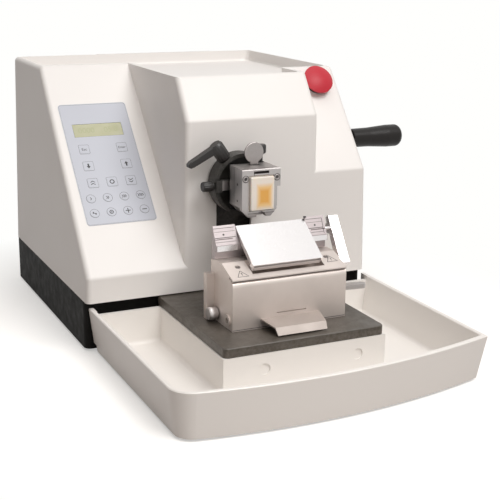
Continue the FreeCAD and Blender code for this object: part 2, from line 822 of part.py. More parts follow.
def mains_inlet():
    """Appliance inlet with three pins in a shrouded recess."""
    made = body("mains_inlet")
    x, z = INLET
    face = d.housing_back + 1.5
    slab(made, "Y", face - 28, face, [rectangle(x - 13.7, x + 13.7, z - 9.7, z + 9.7)])
    slab(made, "Y", face, face + 2.5, [round_rectangle(as_size(x - 17), x + 17, z - 13, z + 13, 2)])
    slab(made, "Y", face - 16, face + 2.5, [[
        (x - 11.5, z - 8), (x + 11.5, z - 8), (x + 11.5, z + 3), (x + 6, z + 8), (x - 6, z + 8),
        (x - 11.5, z + 3)]], cut=True)
    centres = ((x - 6, z - 2), (x, z + 2), (x + 6, z - 2))
    pins = [rectangle(across - 1, across + 1, up - 2, up + 2) for across, up in centres]
    slab(made, "Y", face - 16, face - 2, pins)


def switch_frame():
    made = body("switch_frame")
    x, z = ROCKER
    face = d.housing_back + 1.5
    slab(made, "Y", face - 18, face, [rectangle(x - 7.8, x + 7.8, z - 11.8, z + 11.8)])
    slab(made, "Y", face, face + 1.5, [round_rectangle(as_size(x - 10), x + 10, z - 14, z + 14, 1.5)])
    slab(made, "Y", face - 9, face + 1.5, [rectangle(x - 6.5, x + 6.5, z - 10.5, z + 10.5)], cut=True)
    slab(made, "X", x - ROCKER_PINS - 0.2, x + ROCKER_PINS + 0.2, circles=[
        (d.housing_back, z, ROCKER_PIN + d.run)], cut=True)


def power_rocker():
    """Rocker whose two faces meet at a shallow angle over its pivot."""
    made = body("power_rocker")
    x, z = ROCKER
    pivot = d.housing_back
    slab(made, "X", x - 6, x + 6, [[
        (pivot - 4, z - 6), (pivot - 4, z + 6), (pivot + 2, z + 9.6), (pivot + 4.2, z + 9.6),
        (pivot + 2.6, z), (pivot + 4.2, z - 9.6), (pivot + 2, z - 9.6),
    ]])
    slab(made, "X", x - ROCKER_PINS, x + ROCKER_PINS, circles=[(pivot, z, ROCKER_PIN)])


# Main shaft and handwheel

def guide_column():
    """Casting with two posts whose grooves guide the carriage up and down."""
    made = body("guide_column")
    inner = d.carriage_half + d.gap
    low = d.base_floor
    sill = d.housing_foot + 4
    top = roof - 5
    front = d.carriage_front + 8
    back = d.carriage_block - 4
    slab(made, "Y", front, back, [[
        (-d.post_half, low), (d.post_half, low), (d.post_half, top), (inner, top), (inner, sill),
        (-inner, sill), (-inner, top), (-d.post_half, top),
    ]])
    way_front = d.carriage_front + 26 - d.run
    way_back = d.carriage_front + 38 + d.run
    tip = d.way_half + d.run
    slab(made, "Z", sill, top, [
        rectangle(inner - 1, tip, way_front, way_back), rectangle(-tip, -inner + 1, way_front, way_back),
    ], cut=True)


BEARING_RADIUS = 21
BEARING_BLOCKS = ((75, 95), (d.housing_half - 45, d.housing_half - 25))


def bearing_blocks():
    """Two pedestals that carry the main shaft."""
    made = body("bearing_blocks")
    low = d.base_floor
    for left, right in BEARING_BLOCKS:
        slab(made, "X", left, right, [[
            (d.shaft_y - 38, low), (d.shaft_y + 38, low), (d.shaft_y + 27, shaft_z),
            (d.shaft_y - 27, shaft_z)]])
        slab(made, "X", left, right, circles=[(d.shaft_y, shaft_z, BEARING_RADIUS + 6)])
        slab(made, "X", left, right, circles=[(d.shaft_y, shaft_z, BEARING_RADIUS)], cut=True)


def shaft_bearings():
    made = body("shaft_bearings")
    for left, right in BEARING_BLOCKS:
        slab(made, "X", left + 3, right - 3, circles=[
            (d.shaft_y, shaft_z, BEARING_RADIUS), (d.shaft_y, shaft_z, d.shaft_radius + d.run)])


def along_shaft(name, outline, start):
    """A turned sub-part on the main shaft's axis, its outline counted from start."""
    return turned(name, outline, start, d.shaft_y, shaft_z, AXIS_Y, 90)


def shaft_seal():
    inner = d.shaft_radius + d.gap
    flange = d.housing_half - 1.8
    start = flange - 9
    return along_shaft("shaft_seal", [
        (inner, 0), (16.8, 0), (16.8, flange - start), (22, flange - start), (22, flange - start + 1.6),
        (20.5, flange - start + 2.8), (inner, flange - start + 2.8),
    ], start)


def crankshaft():
    start = d.disc_left + d.disc_thick
    length = wheel_left + d.wheel_width + 4 - start
    r = d.shaft_radius
    return along_shaft("crankshaft", [
        (0, 0), (r + 4, 0), (r + 4, 12), (r, 12), (r, length - 1), (r - 1, length), (0, length),
    ], start)


def crank_disc():
    made = body("crank_disc")
    slab(made, "X", d.disc_left, d.disc_left + d.disc_thick, circles=[(d.shaft_y, shaft_z, d.disc_radius)])
    pin_z = shaft_z + d.stroke / 2
    slab(made, "X", yoke_right + 1, d.disc_left, circles=[(d.shaft_y, pin_z, d.pin_radius - 2)])
    rim = d.disc_radius
    soften(made, 1, lambda edge, at: edge.Curve.TypeId == "Part::GeomCircle" and near(edge.Curve.Radius, rim),
           "Chamfer")


def crank_roller():
    made = body("crank_roller")
    pin_z = shaft_z + d.stroke / 2
    slab(made, "X", yoke_right + 1, d.disc_left - 0.5, circles=[
        (d.shaft_y, pin_z, d.pin_radius), (d.shaft_y, pin_z, d.pin_radius - 2)])


AXLE_COLLAR = 6.8
AXLE_SHANK = 9


def handwheel():
    """Dished wheel: a long hub, a coned web and a deep rounded rim with a boss for the grip."""
    r = d.shaft_radius
    rim = d.wheel_radius
    inner = rim - d.rim_depth
    width = d.wheel_width
    made = along_shaft("handwheel", [
        (r, -8), (24, -8), (26, -2), (34, 3), (inner - 5, 7), (inner, 3), (inner, 2), (inner + 2, 0),
        (rim - 5, 0, 5), (rim, 5), (rim, width - 5, 5), (rim - 5, width), (inner + 2, width),
        (inner, width - 2), (inner - 4, 12.5), (34, 9), (26, 13), (25, width + 3), (23, width + 5), (r, width + 5),
    ], wheel_left)
    below = shaft_z - grip_z
    behind = grip_y - d.shaft_y
    slab(made, "Z", 3, width, circles=[(below, behind, AXLE_COLLAR)])
    slab(made, "Z", width - AXLE_SHANK - 0.5, width, circles=[(below, behind, 4 + d.run)], cut=True)


def grip_axle():
    """Shoulder screw that carries the grip, with its head inside the grip's end."""
    length = d.grip_long - 6
    return turned("grip_axle", [
        (0, -AXLE_SHANK), (4, -AXLE_SHANK), (4, 0), (AXLE_COLLAR, 0), (AXLE_COLLAR, 1.5), (5, 1.5),
        (5, length), (0, length),
    ], wheel_face, grip_y, grip_z, AXIS_Y, 90)


GRIP_ROUND = 8


def grip():
    """Free-turning grip that swells towards its rounded end."""
    stand = 1.5 + d.gap
    long = d.grip_long - stand
    bore = 5 + d.run
    thin = d.grip_base_radius
    thick = d.grip_end_radius
    deep = long - 4
    return turned("grip", [
        (bore, 0), (thin - 1, 0), (thin, 1), (thin + 0.4, long * 0.35), (thick, long * 0.72),
        (thick, long - GRIP_ROUND, GRIP_ROUND), (thick - GRIP_ROUND, long), (0, long), (0, deep), (bore, deep),
    ], wheel_face + stand, grip_y, grip_z, AXIS_Y, 90)


# Vertical carriage and its feed

yoke_left = d.carriage_half
yoke_right = d.carriage_half + 6


def carriage():
    """Bearing block for the specimen arm, guide ribs, and cheeks back to the motor plate."""
    made = body("carriage")
    half = d.carriage_half
    low = arm_z - d.carriage_tall
    high = arm_z + d.carriage_tall
    slab(made, "Z", low, high, [rectangle(-half, half, d.carriage_front, d.carriage_back)])
    opening = d.motor_half + 3
    slab(made, "Z", low, high, [rectangle(-opening, opening, d.carriage_block, d.carriage_back - 8)], cut=True)
    ribs = [
        rectangle(half, d.way_half, d.carriage_front + 26, d.carriage_front + 38),
        rectangle(-d.way_half, -half, d.carriage_front + 26, d.carriage_front + 38),
    ]
    slab(made, "Z", low, high, ribs)
    slab(made, "Y", d.carriage_front, d.carriage_block, circles=[(0, arm_z, d.arm_radius + d.run)], cut=True)
    slab(made, "Y", d.carriage_back - 8, d.carriage_back, circles=[(0, arm_z, d.screw_radius + d.run)], cut=True)


def dust_shield():
    """Black plate that keeps the slot closed over the whole stroke."""
    made = body("dust_shield")
    low = d.slot_low - 4
    high = slot_high + d.stroke + 2
    slab(made, "Y", d.shield_y, d.carriage_front, [
        rectangle(-d.shield_half, d.shield_half, low, high)], [(0, arm_z, d.arm_radius + d.gap)])


def yoke_plate():
    """Slotted yoke that the crank roller drives, on the carriage's right cheek."""
    made = body("yoke_plate")
    level = shaft_z + d.stroke / 2
    reach = d.stroke / 2 + d.pin_radius + 4
    half = d.pin_radius + 0.5
    run = d.stroke / 2
    front = d.carriage_block
    back = d.shaft_y + reach + 8
    tall = d.pin_radius + 9
    slab(made, "X", yoke_left, yoke_right, [
        rectangle(front, back, level - tall, level + tall),
        [(d.shaft_y - run, level - half), (d.shaft_y + run, level - half, half),
         (d.shaft_y + run + half, level, half), (d.shaft_y + run, level + half),
         (d.shaft_y - run, level + half, half), (d.shaft_y - run - half, level, half)],
    ])


def feed_motor():
    made = body("feed_motor")
    half = d.motor_half
    low = arm_z - half
    high = arm_z + half
    front = d.carriage_back
    back = front + d.motor_length
    slab(made, "Y", front, back, [round_rectangle(-half, half, low, high, 4)])
    slab(made, "Y", front + 9, back - 9, [rectangle(-half + 2, half - 2, low + 2, high - 2)])
    soften(made, 1, lambda edge, at: near(at.y, back), "Chamfer")
    slab(made, "Y", front, front + 12, circles=[(0, arm_z, d.screw_radius + 1)], cut=True)


def feed_screw():
    """Feed screw from the motor through the plate and into the nut in the arm."""
    length = d.carriage_back + 8 - (d.arm_back - 50)
    return turned("feed_screw", [
        (0, 0), (d.screw_radius - 1, 0), (d.screw_radius, 1), (d.screw_radius, length), (0, length),
    ], 0, d.carriage_back + 8, arm_z, AXIS_X, 90)


def specimen_arm():
    made = body("specimen_arm")
    front = d.disc_back
    slab(made, "Y", front, d.arm_back, circles=[(0, arm_z, d.arm_radius)])
    slab(made, "Y", d.arm_back - 62, d.arm_back, circles=[(0, arm_z, 9)], cut=True)


def feed_nut():
    made = body("feed_nut")
    slab(made, "Y", d.arm_back - 18, d.arm_back, circles=[
        (0, arm_z, 9), (0, arm_z, d.screw_radius + d.run)])


# Orienting head

SWIVEL_X = 24
SWIVEL_STEM = 2.2
LEVER_STUD = 3


def head_flange():
    """Black cup-shaped flange with two ears for the tilting frame and a bore for the lever's stud."""
    made = body("flange_blank", kept=False)
    back = d.disc_back
    face = back - d.flange_thick
    slab(made, "Y", face, back, circles=[(0, arm_z, d.flange_radius)])
    slab(made, "Y", d.flange_front, face, circles=[
        (0, arm_z, d.flange_radius), (0, arm_z, d.flange_radius - d.flange_rim)])
    ear = d.gimbal_half + 0.5
    outer = d.flange_radius - 0.8
    ears = [rectangle(ear, outer, arm_z - 7, arm_z + 7), rectangle(-outer, -ear, arm_z - 7, arm_z + 7)]
    slab(made, "Y", d.flange_front - 2.5, face, ears)
    slab(made, "X", -outer - 2, -ear + 1, circles=[(d.gimbal_y, arm_z, d.trunnion + d.run)], cut=True)
    slab(made, "X", ear - 1, outer + 2, circles=[(d.gimbal_y, arm_z, d.trunnion + d.run)], cut=True)
    rim = d.flange_radius
    soften(made, 1, lambda edge, at: edge.Curve.TypeId == "Part::GeomCircle"
           and near(edge.Curve.Radius, rim) and near(at.y, back), "Chamfer")
    half = SWIVEL_STEM + 0.7
    slab(made, "Y", d.flange_front - 1, face, [
        rectangle(SWIVEL_X - half, SWIVEL_X + half, arm_z + 15, arm_z + d.flange_radius + 1)], cut=True)
    bore = body("stud_bore", kept=False)
    slab(bore, "Z", -6, 2, circles=[(0, 0, LEVER_STUD + d.run)])
    place_on_flange(bore)
    cut_from("head_flange", made, [bore])


def place_on_flange(made):
    """Stands a body on the flange's rim where the locking lever is."""
    hub = d.flange_radius
    place(made, hub * sine(d.lever_lean), d.lever_y, arm_z + hub * cosine(d.lever_lean), AXIS_Y, d.lever_lean)


def tilt_frame():
    """Bar on two trunnions, with the upright core that the clamp swivels on."""
    made = body("tilt_frame")
    half = d.gimbal_half
    y = d.gimbal_y
    z = arm_z
    slab(made, "X", -half, half, [rectangle(y - 2, y + 4, z - 6, z + 6)])
    slab(made, "Z", z - d.swivel_half, z + d.swivel_half, circles=[(0, y, 4.5)])
    slab(made, "Z", z - d.swivel_half - 6, z + d.swivel_half + 6, circles=[(0, y, d.swivel_pin)])
    tip = d.flange_radius - 4
    slab(made, "X", half, tip, circles=[(y, z, d.trunnion)])
    slab(made, "X", -tip, -half, circles=[(y, z, d.trunnion)])
    slab(made, "Z", z, z + 6, circles=[(SWIVEL_X, y + 1, SWIVEL_STEM + d.run)], cut=True)


def swivel_plate():
    """Plate behind the clamp, with a lug above and below the tilting frame's core."""
    made = body("swivel_plate")
    y = d.gimbal_y
    z = arm_z
    half = d.swivel_half + 6
    edge = round_rectangle(as_size(-18), 18, z - half, z + half, 3)
    slab(made, "Y", d.clamp_back, d.clamp_back + 4, [edge])
    inner = d.swivel_half + d.gap
    lugs = [rectangle(-5, 5, d.clamp_back, y + 3.5)]
    slab(made, "Z", z + inner, z + half, lugs)
    slab(made, "Z", z - half, z - inner, lugs)
    slab(made, "Z", z - half - 1, z + half + 1, circles=[(0, y, d.swivel_pin + d.run)], cut=True)


def tilt_knob():
    """Fluted knob on the tilt axis at the left of the head."""
    start = d.flange_radius + 1.5
    return turned("tilt_knob", [
        (0, -5.2), (d.trunnion, -5.2), (d.trunnion, 0), (5, 0), (5.6, 0.6), (5.6, 12.4), (5, 13), (0, 13),
    ], -start, d.gimbal_y, arm_z, AXIS_Y, -90)


def swivel_knob():
    """Fluted knob above the head at the right, on its stem in the tilting frame."""
    return turned("swivel_knob", [
        (0, 1), (SWIVEL_STEM, 1), (SWIVEL_STEM, 34.5), (5.2, 34.5), (5.6, 35.1), (5.6, 44.4), (5, 45), (0, 45),
    ], SWIVEL_X, d.gimbal_y + 1, arm_z)


def locking_lever():
    """Ratchet lever: a fluted hub on a radial stud with a tapered arm."""
    made = body("locking_lever")
    spin(made, [
        (0, -4), (LEVER_STUD, -4), (LEVER_STUD, 0.5), (7, 0.5), (8, 2), (8, 20), (6.5, 22.5), (0, 22.5)])
    slab(made, "Y", -4.6, 4.6, [[
        (0, 12), (0, 22), (-36, 25), (-39.8, 24.2), (-41.5, 21.3), (-39.8, 18.6), (-36, 17.3)]])
    soften(made, 1, lambda edge, at: at.x < -9 and near(abs(at.y), 4.6), "Chamfer")
    place_on_flange(made)


# Cassette clamp

SCREW_INSET = 4.4
NOTCH = 6
PADDLE = 12
PADDLE_UP = 14
PADDLE_X = 3.3
NECK = 5
PIVOT_UP = 10


def clamp_body():
    """Block behind the front plate, with slots for the lever and the jaw, and the lever's pin."""
    made = body("clamp_body")
    left = d.clamp_x - d.clamp_half + 1
    right = d.clamp_x + d.clamp_half - 1
    front = d.clamp_front + d.clamp_plate
    low = clamp_low + 1
    high = clamp_high
    slab(made, "Y", front, d.clamp_back, [[
        (left + 9, low), (right - 9, low), (right, low + 9), (right, high), (left, high), (left, low + 9)]])
    lever_x = d.clamp_x + PADDLE_X
    half = NECK + 0.6
    slot = rectangle(lever_x - half, lever_x + half, d.clamp_back - 14, d.clamp_back - 2)
    slab(made, "Z", high - 16, high, [slot], cut=True)
    slab(made, "Z", cassette_high, high - 2.3, [
        rectangle(d.clamp_x - 9.5, d.clamp_x + 9.5, front, d.clamp_back - 13)], cut=True)
    slab(made, "X", lever_x - 10, lever_x + 10, circles=[(d.clamp_back - 8, high - PIVOT_UP, 2)])


def clamp_front_plate():
    """Front plate with the cassette window, chamfered feet and a thumb notch."""
    made = body("clamp_front_plate")
    left = d.clamp_x - d.clamp_half
    right = d.clamp_x + d.clamp_half
    low = clamp_low
    high = clamp_high
    front = d.clamp_front
    back = front + d.clamp_plate
    x = d.clamp_x
    ease = 0.4
    slab(made, "Y", front, back, [
        [(left + 8, low), (x - NOTCH, low, -NOTCH), (x, low + NOTCH, -NOTCH), (x + NOTCH, low),
         (right - 12, low), (right - 4.5, low + 8), (right - 4.5, high - 21), (right, high - 21),
         (right, high), (left, high), (left, low + 8)],
        [(x - d.cassette_half - ease, cassette_low - ease), (x + d.cassette_half + ease, cassette_low - ease),
         (x + d.cassette_half + ease, cassette_high + ease), (x + 9.5, cassette_high + ease),
         (x + 9.5, high - 2.3), (x - 9.5, high - 2.3), (x - 9.5, cassette_high + ease),
         (x - d.cassette_half - ease, cassette_high + ease)],
    ])
    slab(made, "Y", front, front + 2.6, circles=clamp_screw_centres(3.9), cut=True)
    slab(made, "Y", front, back, circles=clamp_screw_centres(2), cut=True)
    soften(made, 0.8, lambda edge, at: near(at.y, front) and near(at.z, high), "Chamfer")


def clamp_screw_centres(radius):
    z = clamp_high - 10.5
    return [(d.clamp_x + side * (d.clamp_half - SCREW_INSET), z, radius) for side in (-1, 1)]


def clamp_screws():
    made = body("clamp_screws")
    front = d.clamp_front
    slab(made, "Y", front + 0.4, front + 2.6, circles=clamp_screw_centres(3.5))
    slab(made, "Y", front + 2.6, front + d.clamp_plate, circles=clamp_screw_centres(2))
    slab(made, "Y", front + 0.3, front + 2, circles=clamp_screw_centres(1.7), cut=True)


def cassette():
    """Tissue cassette with its grid floor, held behind the wax."""
    made = body("cassette")
    x = d.clamp_x
    half = d.cassette_half
    back = d.clamp_front + d.clamp_plate
    front = back - 4.5
    slab(made, "Y", front, back, [rectangle(x - half, x + half, cassette_low, cassette_high)])
    cells = [
        rectangle(x - 12 + 6.2 * i, x - 7.4 + 6.2 * i, cassette_low + 4 + 7 * j, cassette_low + 9 + 7 * j)
        for i in range(4) for j in range(4)
    ]
    slab(made, "Y", back - 2, back, cells, cut=True)


def wax_block():
    """Embedded block with drafted sides standing on the cassette."""
    made = body("wax_block")
    x = d.clamp_x
    half = d.cassette_half - 0.7
    back = d.clamp_front + d.clamp_plate - 4.5
    low = cassette_low + 0.7
    high = cassette_high - 0.7
    slab(made, "Y", d.wax_front, back, [round_rectangle(x - half, x + half, low, high, 1.5)])
    front = d.wax_front
    soften(made, 0.8, lambda edge, at: near(at.y, front), "Chamfer")


def clamp_lever():
    """Paddle lever: a flat round head on a neck that turns on the clamp's pin."""
    made = body("clamp_lever")
    x = d.clamp_x + PADDLE_X
    back = d.clamp_back - 6.5
    front = back - 3
    pivot = clamp_high - PIVOT_UP
    head = clamp_high + PADDLE_UP
    slab(made, "Y", front, back, [rectangle(x - NECK, x + NECK, pivot, head - PADDLE + 2)])
    slab(made, "Y", front, back, circles=[(x, head, PADDLE)])
    slab(made, "X", x - NECK, x + NECK, circles=[(d.clamp_back - 8, pivot, 4.3)])
    slab(made, "X", x - NECK, x + NECK, circles=[(d.clamp_back - 8, pivot, 2 + d.run)], cut=True)
    soften(made, 1, lambda edge, at: edge.Curve.TypeId == "Part::GeomCircle"
           and near(edge.Curve.Radius, PADDLE), "Fillet")


def clamp_jaw():
    """Upper jaw that presses on the cassette's edge."""
    made = body("clamp_jaw")
    x = d.clamp_x
    low = cassette_high + d.gap
    slab(made, "X", x - 9.1, x + 9.1, [[
        (d.clamp_front - 0.6, low + 1), (d.clamp_front + 0.4, low), (d.clamp_back - 15.5, low),
        (d.clamp_back - 15.5, low + 2.4), (d.clamp_front - 0.6, low + 2.4)]])


# Knife holder

LEVER_Y = -128
LEVER_LOW = 85
LEVER_SWING = -6.3
SOCKET_Y = -135
SOCKET_UP = 9.5
ANGLE_KNOB_Y = -106
SLOPE_SCREW = 3
BED_LAP = 3


def slope_z(y, drop=0):
    """Height of the sloping plate's upper face, less a drop."""
    rise = sine(d.slope_angle) / cosine(d.slope_angle)
    return d.slope_front + (y - d.holder_front) * rise - drop


def down_slope(along, out):
    """Point at a distance down the blade's plane and out of it, from the cutting edge."""
    y = d.edge_y - along * cosine(d.guard_angle) - out * sine(d.guard_angle)
    z = d.edge_z - along * sine(d.guard_angle) + out * cosine(d.guard_angle)
    return (y, z)


def plate_drop():
    return d.slope_plate / cosine(d.slope_angle)


def holder_window():
    return rectangle(d.guard_left - BED_LAP, d.guard_right + BED_LAP, d.holder_front + 7, d.slope_back + 2)


def holder_base():
    """Main block: rounded shoulder, ledge with the round seat, rear saddle and clamping cavity."""
    made = body("holder_base")
    foot = holder_foot
    front = d.holder_front
    shoulder_back = front + d.shoulder
    lip = shoulder_back + 2
    drop = plate_drop()
    low = d.shoulder_low
    slab(made, "X", d.holder_left, d.holder_right, [[
        (front, foot), (holder_back, foot), (holder_back, d.holder_top), (d.slope_back, d.holder_top),
        (d.slope_back, slope_z(d.slope_back, drop)), (lip, slope_z(lip, drop)), (lip, low + d.shoulder),
        (shoulder_back, low + d.shoulder, d.shoulder), (front, low),
    ]])
    slab(made, "X", -d.saddle_half, d.saddle_half, [rectangle(d.saddle_front, holder_back, foot, d.saddle_top)])
    seat = [(d.edge_y, d.edge_z, d.seat_radius)]
    slab(made, "X", -d.saddle_half, d.saddle_half, circles=seat, cut=True)
    window_floor = d.shoulder_low + d.shoulder
    slab(made, "Z", window_floor, d.holder_top + 1, [holder_window()], cut=True)
    cavity_low = foot
    slab(made, "Z", cavity_low, d.shoulder_low - 10, [
        rectangle(d.holder_left + 8, d.holder_right - 6, front + 6, d.saddle_front - 6)], cut=True)
    slab(made, "X", d.holder_right - 8, d.holder_right + 1, [
        rectangle(front + 5.6, front + 41, LEVER_LOW - 0.6, LEVER_LOW + 5.6)], cut=True)
    slab(made, "X", d.holder_left - 1.2, d.holder_left, circles=[(SOCKET_Y, foot + SOCKET_UP, 7)])
    slab(made, "X", d.holder_left - 1.2, d.holder_left + 5, circles=[(SOCKET_Y, foot + SOCKET_UP, 3)], cut=True)
    slab(made, "X", d.holder_left, d.holder_left + 8, circles=[
        (ANGLE_KNOB_Y, foot + SOCKET_UP, 3 + d.run)], cut=True)
    slab(made, "Y", front, front + 2, [rectangle(-15, 21, foot + 15, foot + 16.2)], cut=True)
    y = slope_screw_centres()[0][1]
    holes = [(x, y, SLOPE_SCREW + d.run) for x, y in slope_screw_centres()]
    slab(made, "Z", slope_z(y, drop) - 3, d.holder_top + 1, circles=holes, cut=True)


def slope_screw_centres():
    y = d.slope_back - 9
    return [(d.holder_left + 15, y), (d.holder_right - 15, y)]


def sloping_plate():
    """Sheet on the slope, cut out in the middle for the bed plate."""
    made = body("sloping_plate")
    drop = plate_drop()
    front = d.holder_front
    back = d.slope_back
    slab(made, "X", d.holder_left, d.holder_right, [[
        (front, slope_z(front, drop)), (back, slope_z(back, drop)), (back, slope_z(back)), (front, slope_z(front))]])
    slab(made, "Z", d.slope_front - 4, d.holder_top + 4, [holder_window()], cut=True)
    holes = [(x, y, SLOPE_SCREW + d.run) for x, y in slope_screw_centres()]
    slab(made, "Z", d.slope_front - 4, d.holder_top + 4, circles=holes, cut=True)


def sloping_plate_screws():
    made = body("sloping_plate_screws")
    x, y = slope_screw_centres()[0]
    top = slope_z(y)
    rounds = [(x, y, SLOPE_SCREW) for x, y in slope_screw_centres()]
    slab(made, "Z", top - plate_drop() - 2.8, top + 0.2, circles=rounds)
    slots = [rectangle(x - 2.4, x + 2.4, y - 0.4, y + 0.4) for x, y in slope_screw_centres()]
    slab(made, "Z", top - 0.6, top + 1, slots, cut=True)


def pull_tab():
    """Bent sheet tab at the front, narrower towards its turned-down tip."""
    made = body("pull_tab")
    front = d.holder_front
    foot = holder_foot
    slab(made, "X", -34, 38, [[
        (front, foot + 9.4), (front, foot + 10.9), (front - 27, foot + 8.8), (front - 33, foot + 1.6),
        (front - 31.8, foot + 0.8), (front - 26.2, foot + 7.4)]])
    tip = front - 34
    slab(made, "Z", foot, foot + 12, [
        [(-35, tip), (-29, tip), (-34, front - 0.1), (-35, front - 0.1)],
        [(30, tip), (39, tip), (39, front - 0.1), (38, front - 0.1)],
    ], cut=True)


def clamp_nut():
    """Nut in the slide plate's slot, drawn up by the locking lever's bolt."""
    made = body("clamp_nut")
    wide = d.slot_tee / 2 - d.gap
    neck = d.slot_neck / 2 - d.gap
    low = d.tongue_height + 0.4
    shelf = d.tongue_height + d.plate_layer - d.gap
    slab(made, "Y", LEVER_Y - 20, LEVER_Y + 20, [[
        (-wide, low), (wide, low), (wide, shelf), (neck, shelf), (neck, holder_foot), (-neck, holder_foot),
        (-neck, shelf), (-wide, shelf)]])
    slab(made, "Z", low, holder_foot, circles=[(0, LEVER_Y, 4 + d.run)], cut=True)


def holder_lever():
    """Flat locking lever on its upright bolt; it comes out through the block's right side."""
    made = body("holder_lever")
    slab(made, "Z", d.tongue_height + 1, LEVER_LOW, circles=[(0, 0, 4)])
    slab(made, "Z", LEVER_LOW - 2, LEVER_LOW + 7, circles=[(0, 0, 9)])
    reach = d.holder_right + 31
    slab(made, "Z", LEVER_LOW, LEVER_LOW + 5, [[
        (0, -5.2), (reach - 5.2, -5.2, 5.2), (reach, 0, 5.2), (reach - 5.2, 5.2), (0, 5.2)]])
    place(made, 0, LEVER_Y, 0, FreeCAD.Vector(0, 0, 1), LEVER_SWING)


def angle_knob():
    return turned("angle_knob", [
        (0, -6), (3, -6), (3, 0.6), (6.5, 0.6), (7, 1.1), (7, 10.4), (6.4, 11), (0, 11),
    ], d.holder_left, ANGLE_KNOB_Y, holder_foot + SOCKET_UP, AXIS_Y, -90)


def blade_carrier():
    """Long rear bar with a round foot in the seat; its middle is planed down for the blade."""
    made = body("blade_carrier")
    radius = d.seat_radius - d.gap
    foot_front = d.edge_y - 8
    foot_back = carrier_back
    low_front = d.edge_z - root(radius * radius - 64)
    low_back = d.edge_z - radius
    nose = d.edge_y - 13.5
    slab(made, "X", d.holder_left + 1, d.holder_right, [[
        (foot_front, low_front, radius), (foot_back, low_back), (foot_back, d.carrier_top - 0.8),
        (foot_back - 1.2, d.carrier_top), (d.edge_y - 11.5, d.edge_z - 17), (nose, d.edge_z - 17),
        (nose, d.edge_z - 23.5), (foot_front, d.edge_z - 23.5)]])
    slab(made, "X", d.guard_left - 2.5, d.guard_right + 2.5, [[
        down_slope(-6, -0.15), down_slope(30, -0.15), down_slope(30, 30), down_slope(-6, 30)]], cut=True)
    slab(made, "X", 44.5, d.holder_right, circles=[(d.edge_y - 4.6, d.edge_z - 12, 2.5 + d.run)], cut=True)
    slab(made, "X", d.holder_left + 1, d.guard_left - 8, [[
        (d.edge_y - 30, d.edge_z - 11.5), (d.edge_y - 7.6, d.edge_z - 11.5),
        (d.edge_y - 7.9, d.edge_z - 10.5), (d.edge_y - 30, d.edge_z - 10.5)]], cut=True)
    slab(made, "X", d.guard_right + 8, d.holder_right, [[
        (d.edge_y - 30, d.edge_z - 11.5), (d.edge_y - 7.6, d.edge_z - 11.5),
        (d.edge_y - 7.9, d.edge_z - 10.5), (d.edge_y - 30, d.edge_z - 10.5)]], cut=True)
    return made


def bed_plate():
    """Thick plate below the pressure plate, with the stub pins that the plate turns on."""
    blank = body("bed_blank", kept=False)
    top = -d.bed_drop
    low = top - d.bed_thick
    slab(blank, "X", d.guard_left, d.guard_right, [[
        down_slope(9.5, top), down_slope(d.guard_long, top), down_slope(d.guard_long, low),
        down_slope(9.5, low)]])
    hinge_y, hinge_z = guard_axis()
    slab(blank, "X", d.guard_left - 2, d.guard_right + 2, circles=[(hinge_y, hinge_z, 1.5)])
    cut_from("bed_plate", blank, [doc.getObject("blade_carrier")])


def guard_axis():
    return down_slope(d.guard_long - 1.8, -4.4)


def microtome_blade():
    made = body("microtome_blade")
    slab(made, "X", d.guard_left - 0.5, d.guard_right + 0.5, [[
        down_slope(0, -0.15), down_slope(0.8, 0.15), down_slope(8, 0.15), down_slope(8, -0.15)]])


def pressure_plate():
    """Polished plate over the blade, on two ears that turn on the bed plate's pins."""
    made = body("pressure_plate")
    low = 0.2
    high = low + d.guard_thick
    ear = 1.5
    left = d.guard_left - d.gap
    right = d.guard_right + d.gap
    slab(made, "X", left - ear, right + ear, [[
        down_slope(0.8, low), down_slope(d.guard_long, low), down_slope(d.guard_long, high),
        down_slope(0.8, high)]])
    end = d.guard_long
    tab = [down_slope(end - 6, high), down_slope(end, high), down_slope(end, -6.8), down_slope(end - 6, -6.8)]
    slab(made, "X", left - ear, left, [tab])
    slab(made, "X", right, right + ear, [tab])
    hinge_y, hinge_z = guard_axis()
    slab(made, "X", left - 3, right + 3, circles=[(hinge_y, hinge_z, 1.5 + d.run)], cut=True)


def blade_lever():
    """Bright lever at the right end, on the eccentric shaft that clamps the blade."""
    made = body("blade_lever")
    left = d.holder_right + 5
    right = left + 12
    y = d.edge_y - 4.6
    z = d.edge_z - 12
    slab(made, "X", left, right, [[
        (y + 0.6, z + 15.4), (y - 33, z - 34), (y - 27.4, z - 38.8), (y - 16, z - 27), (y + 6, z + 11)]])
    soften(made, 1.5, lambda edge, at: runs_along(edge, AXIS_X))
    slab(made, "X", left, right, circles=[(y, z, 6.5)])
    slab(made, "X", 45, left, circles=[(y, z, 2.5)])


# Safety stop

def stop_switch():
    """Collar and barrel of the safety stop."""
    made = body("stop_switch")
    spin(made, [
        (6 + d.run, -26), (11, -26), (11, 0), (15, 0), (15, 1.6), (14, 2.6), (6 + d.run, 2.6)])
    slab(made, "Z", -31, -26, circles=[(0, 0, 11)])
    place_on_right_slope(made)


def stop_button():
    """Red mushroom head on its stem."""
    made = body("stop_button")
    r = d.stop_radius
    low = 2.8 + d.stop_travel
    rise = 5
    dome = (r * r + rise * rise) / (2 * rise)
    spin(made, [
        (0, -20), (6, -20), (6, low), (r - 1.2, low), (r, low + 1.2), (r, low + 3, dome), (0, low + 3 + rise)])
    place_on_right_slope(made)


# Waste tray

BOW_TURN = 12
TRAY_ROUND = 5
TRAY_BEVEL = 1


def bow_start(radius):
    """Point where the rounded left corner of the tray, drawn at a radius, meets the bowed front."""
    across = tray_left + d.tray_corner - radius * sine(BOW_TURN)
    return (across, d.tray_front_left + d.tray_corner - radius * cosine(BOW_TURN))


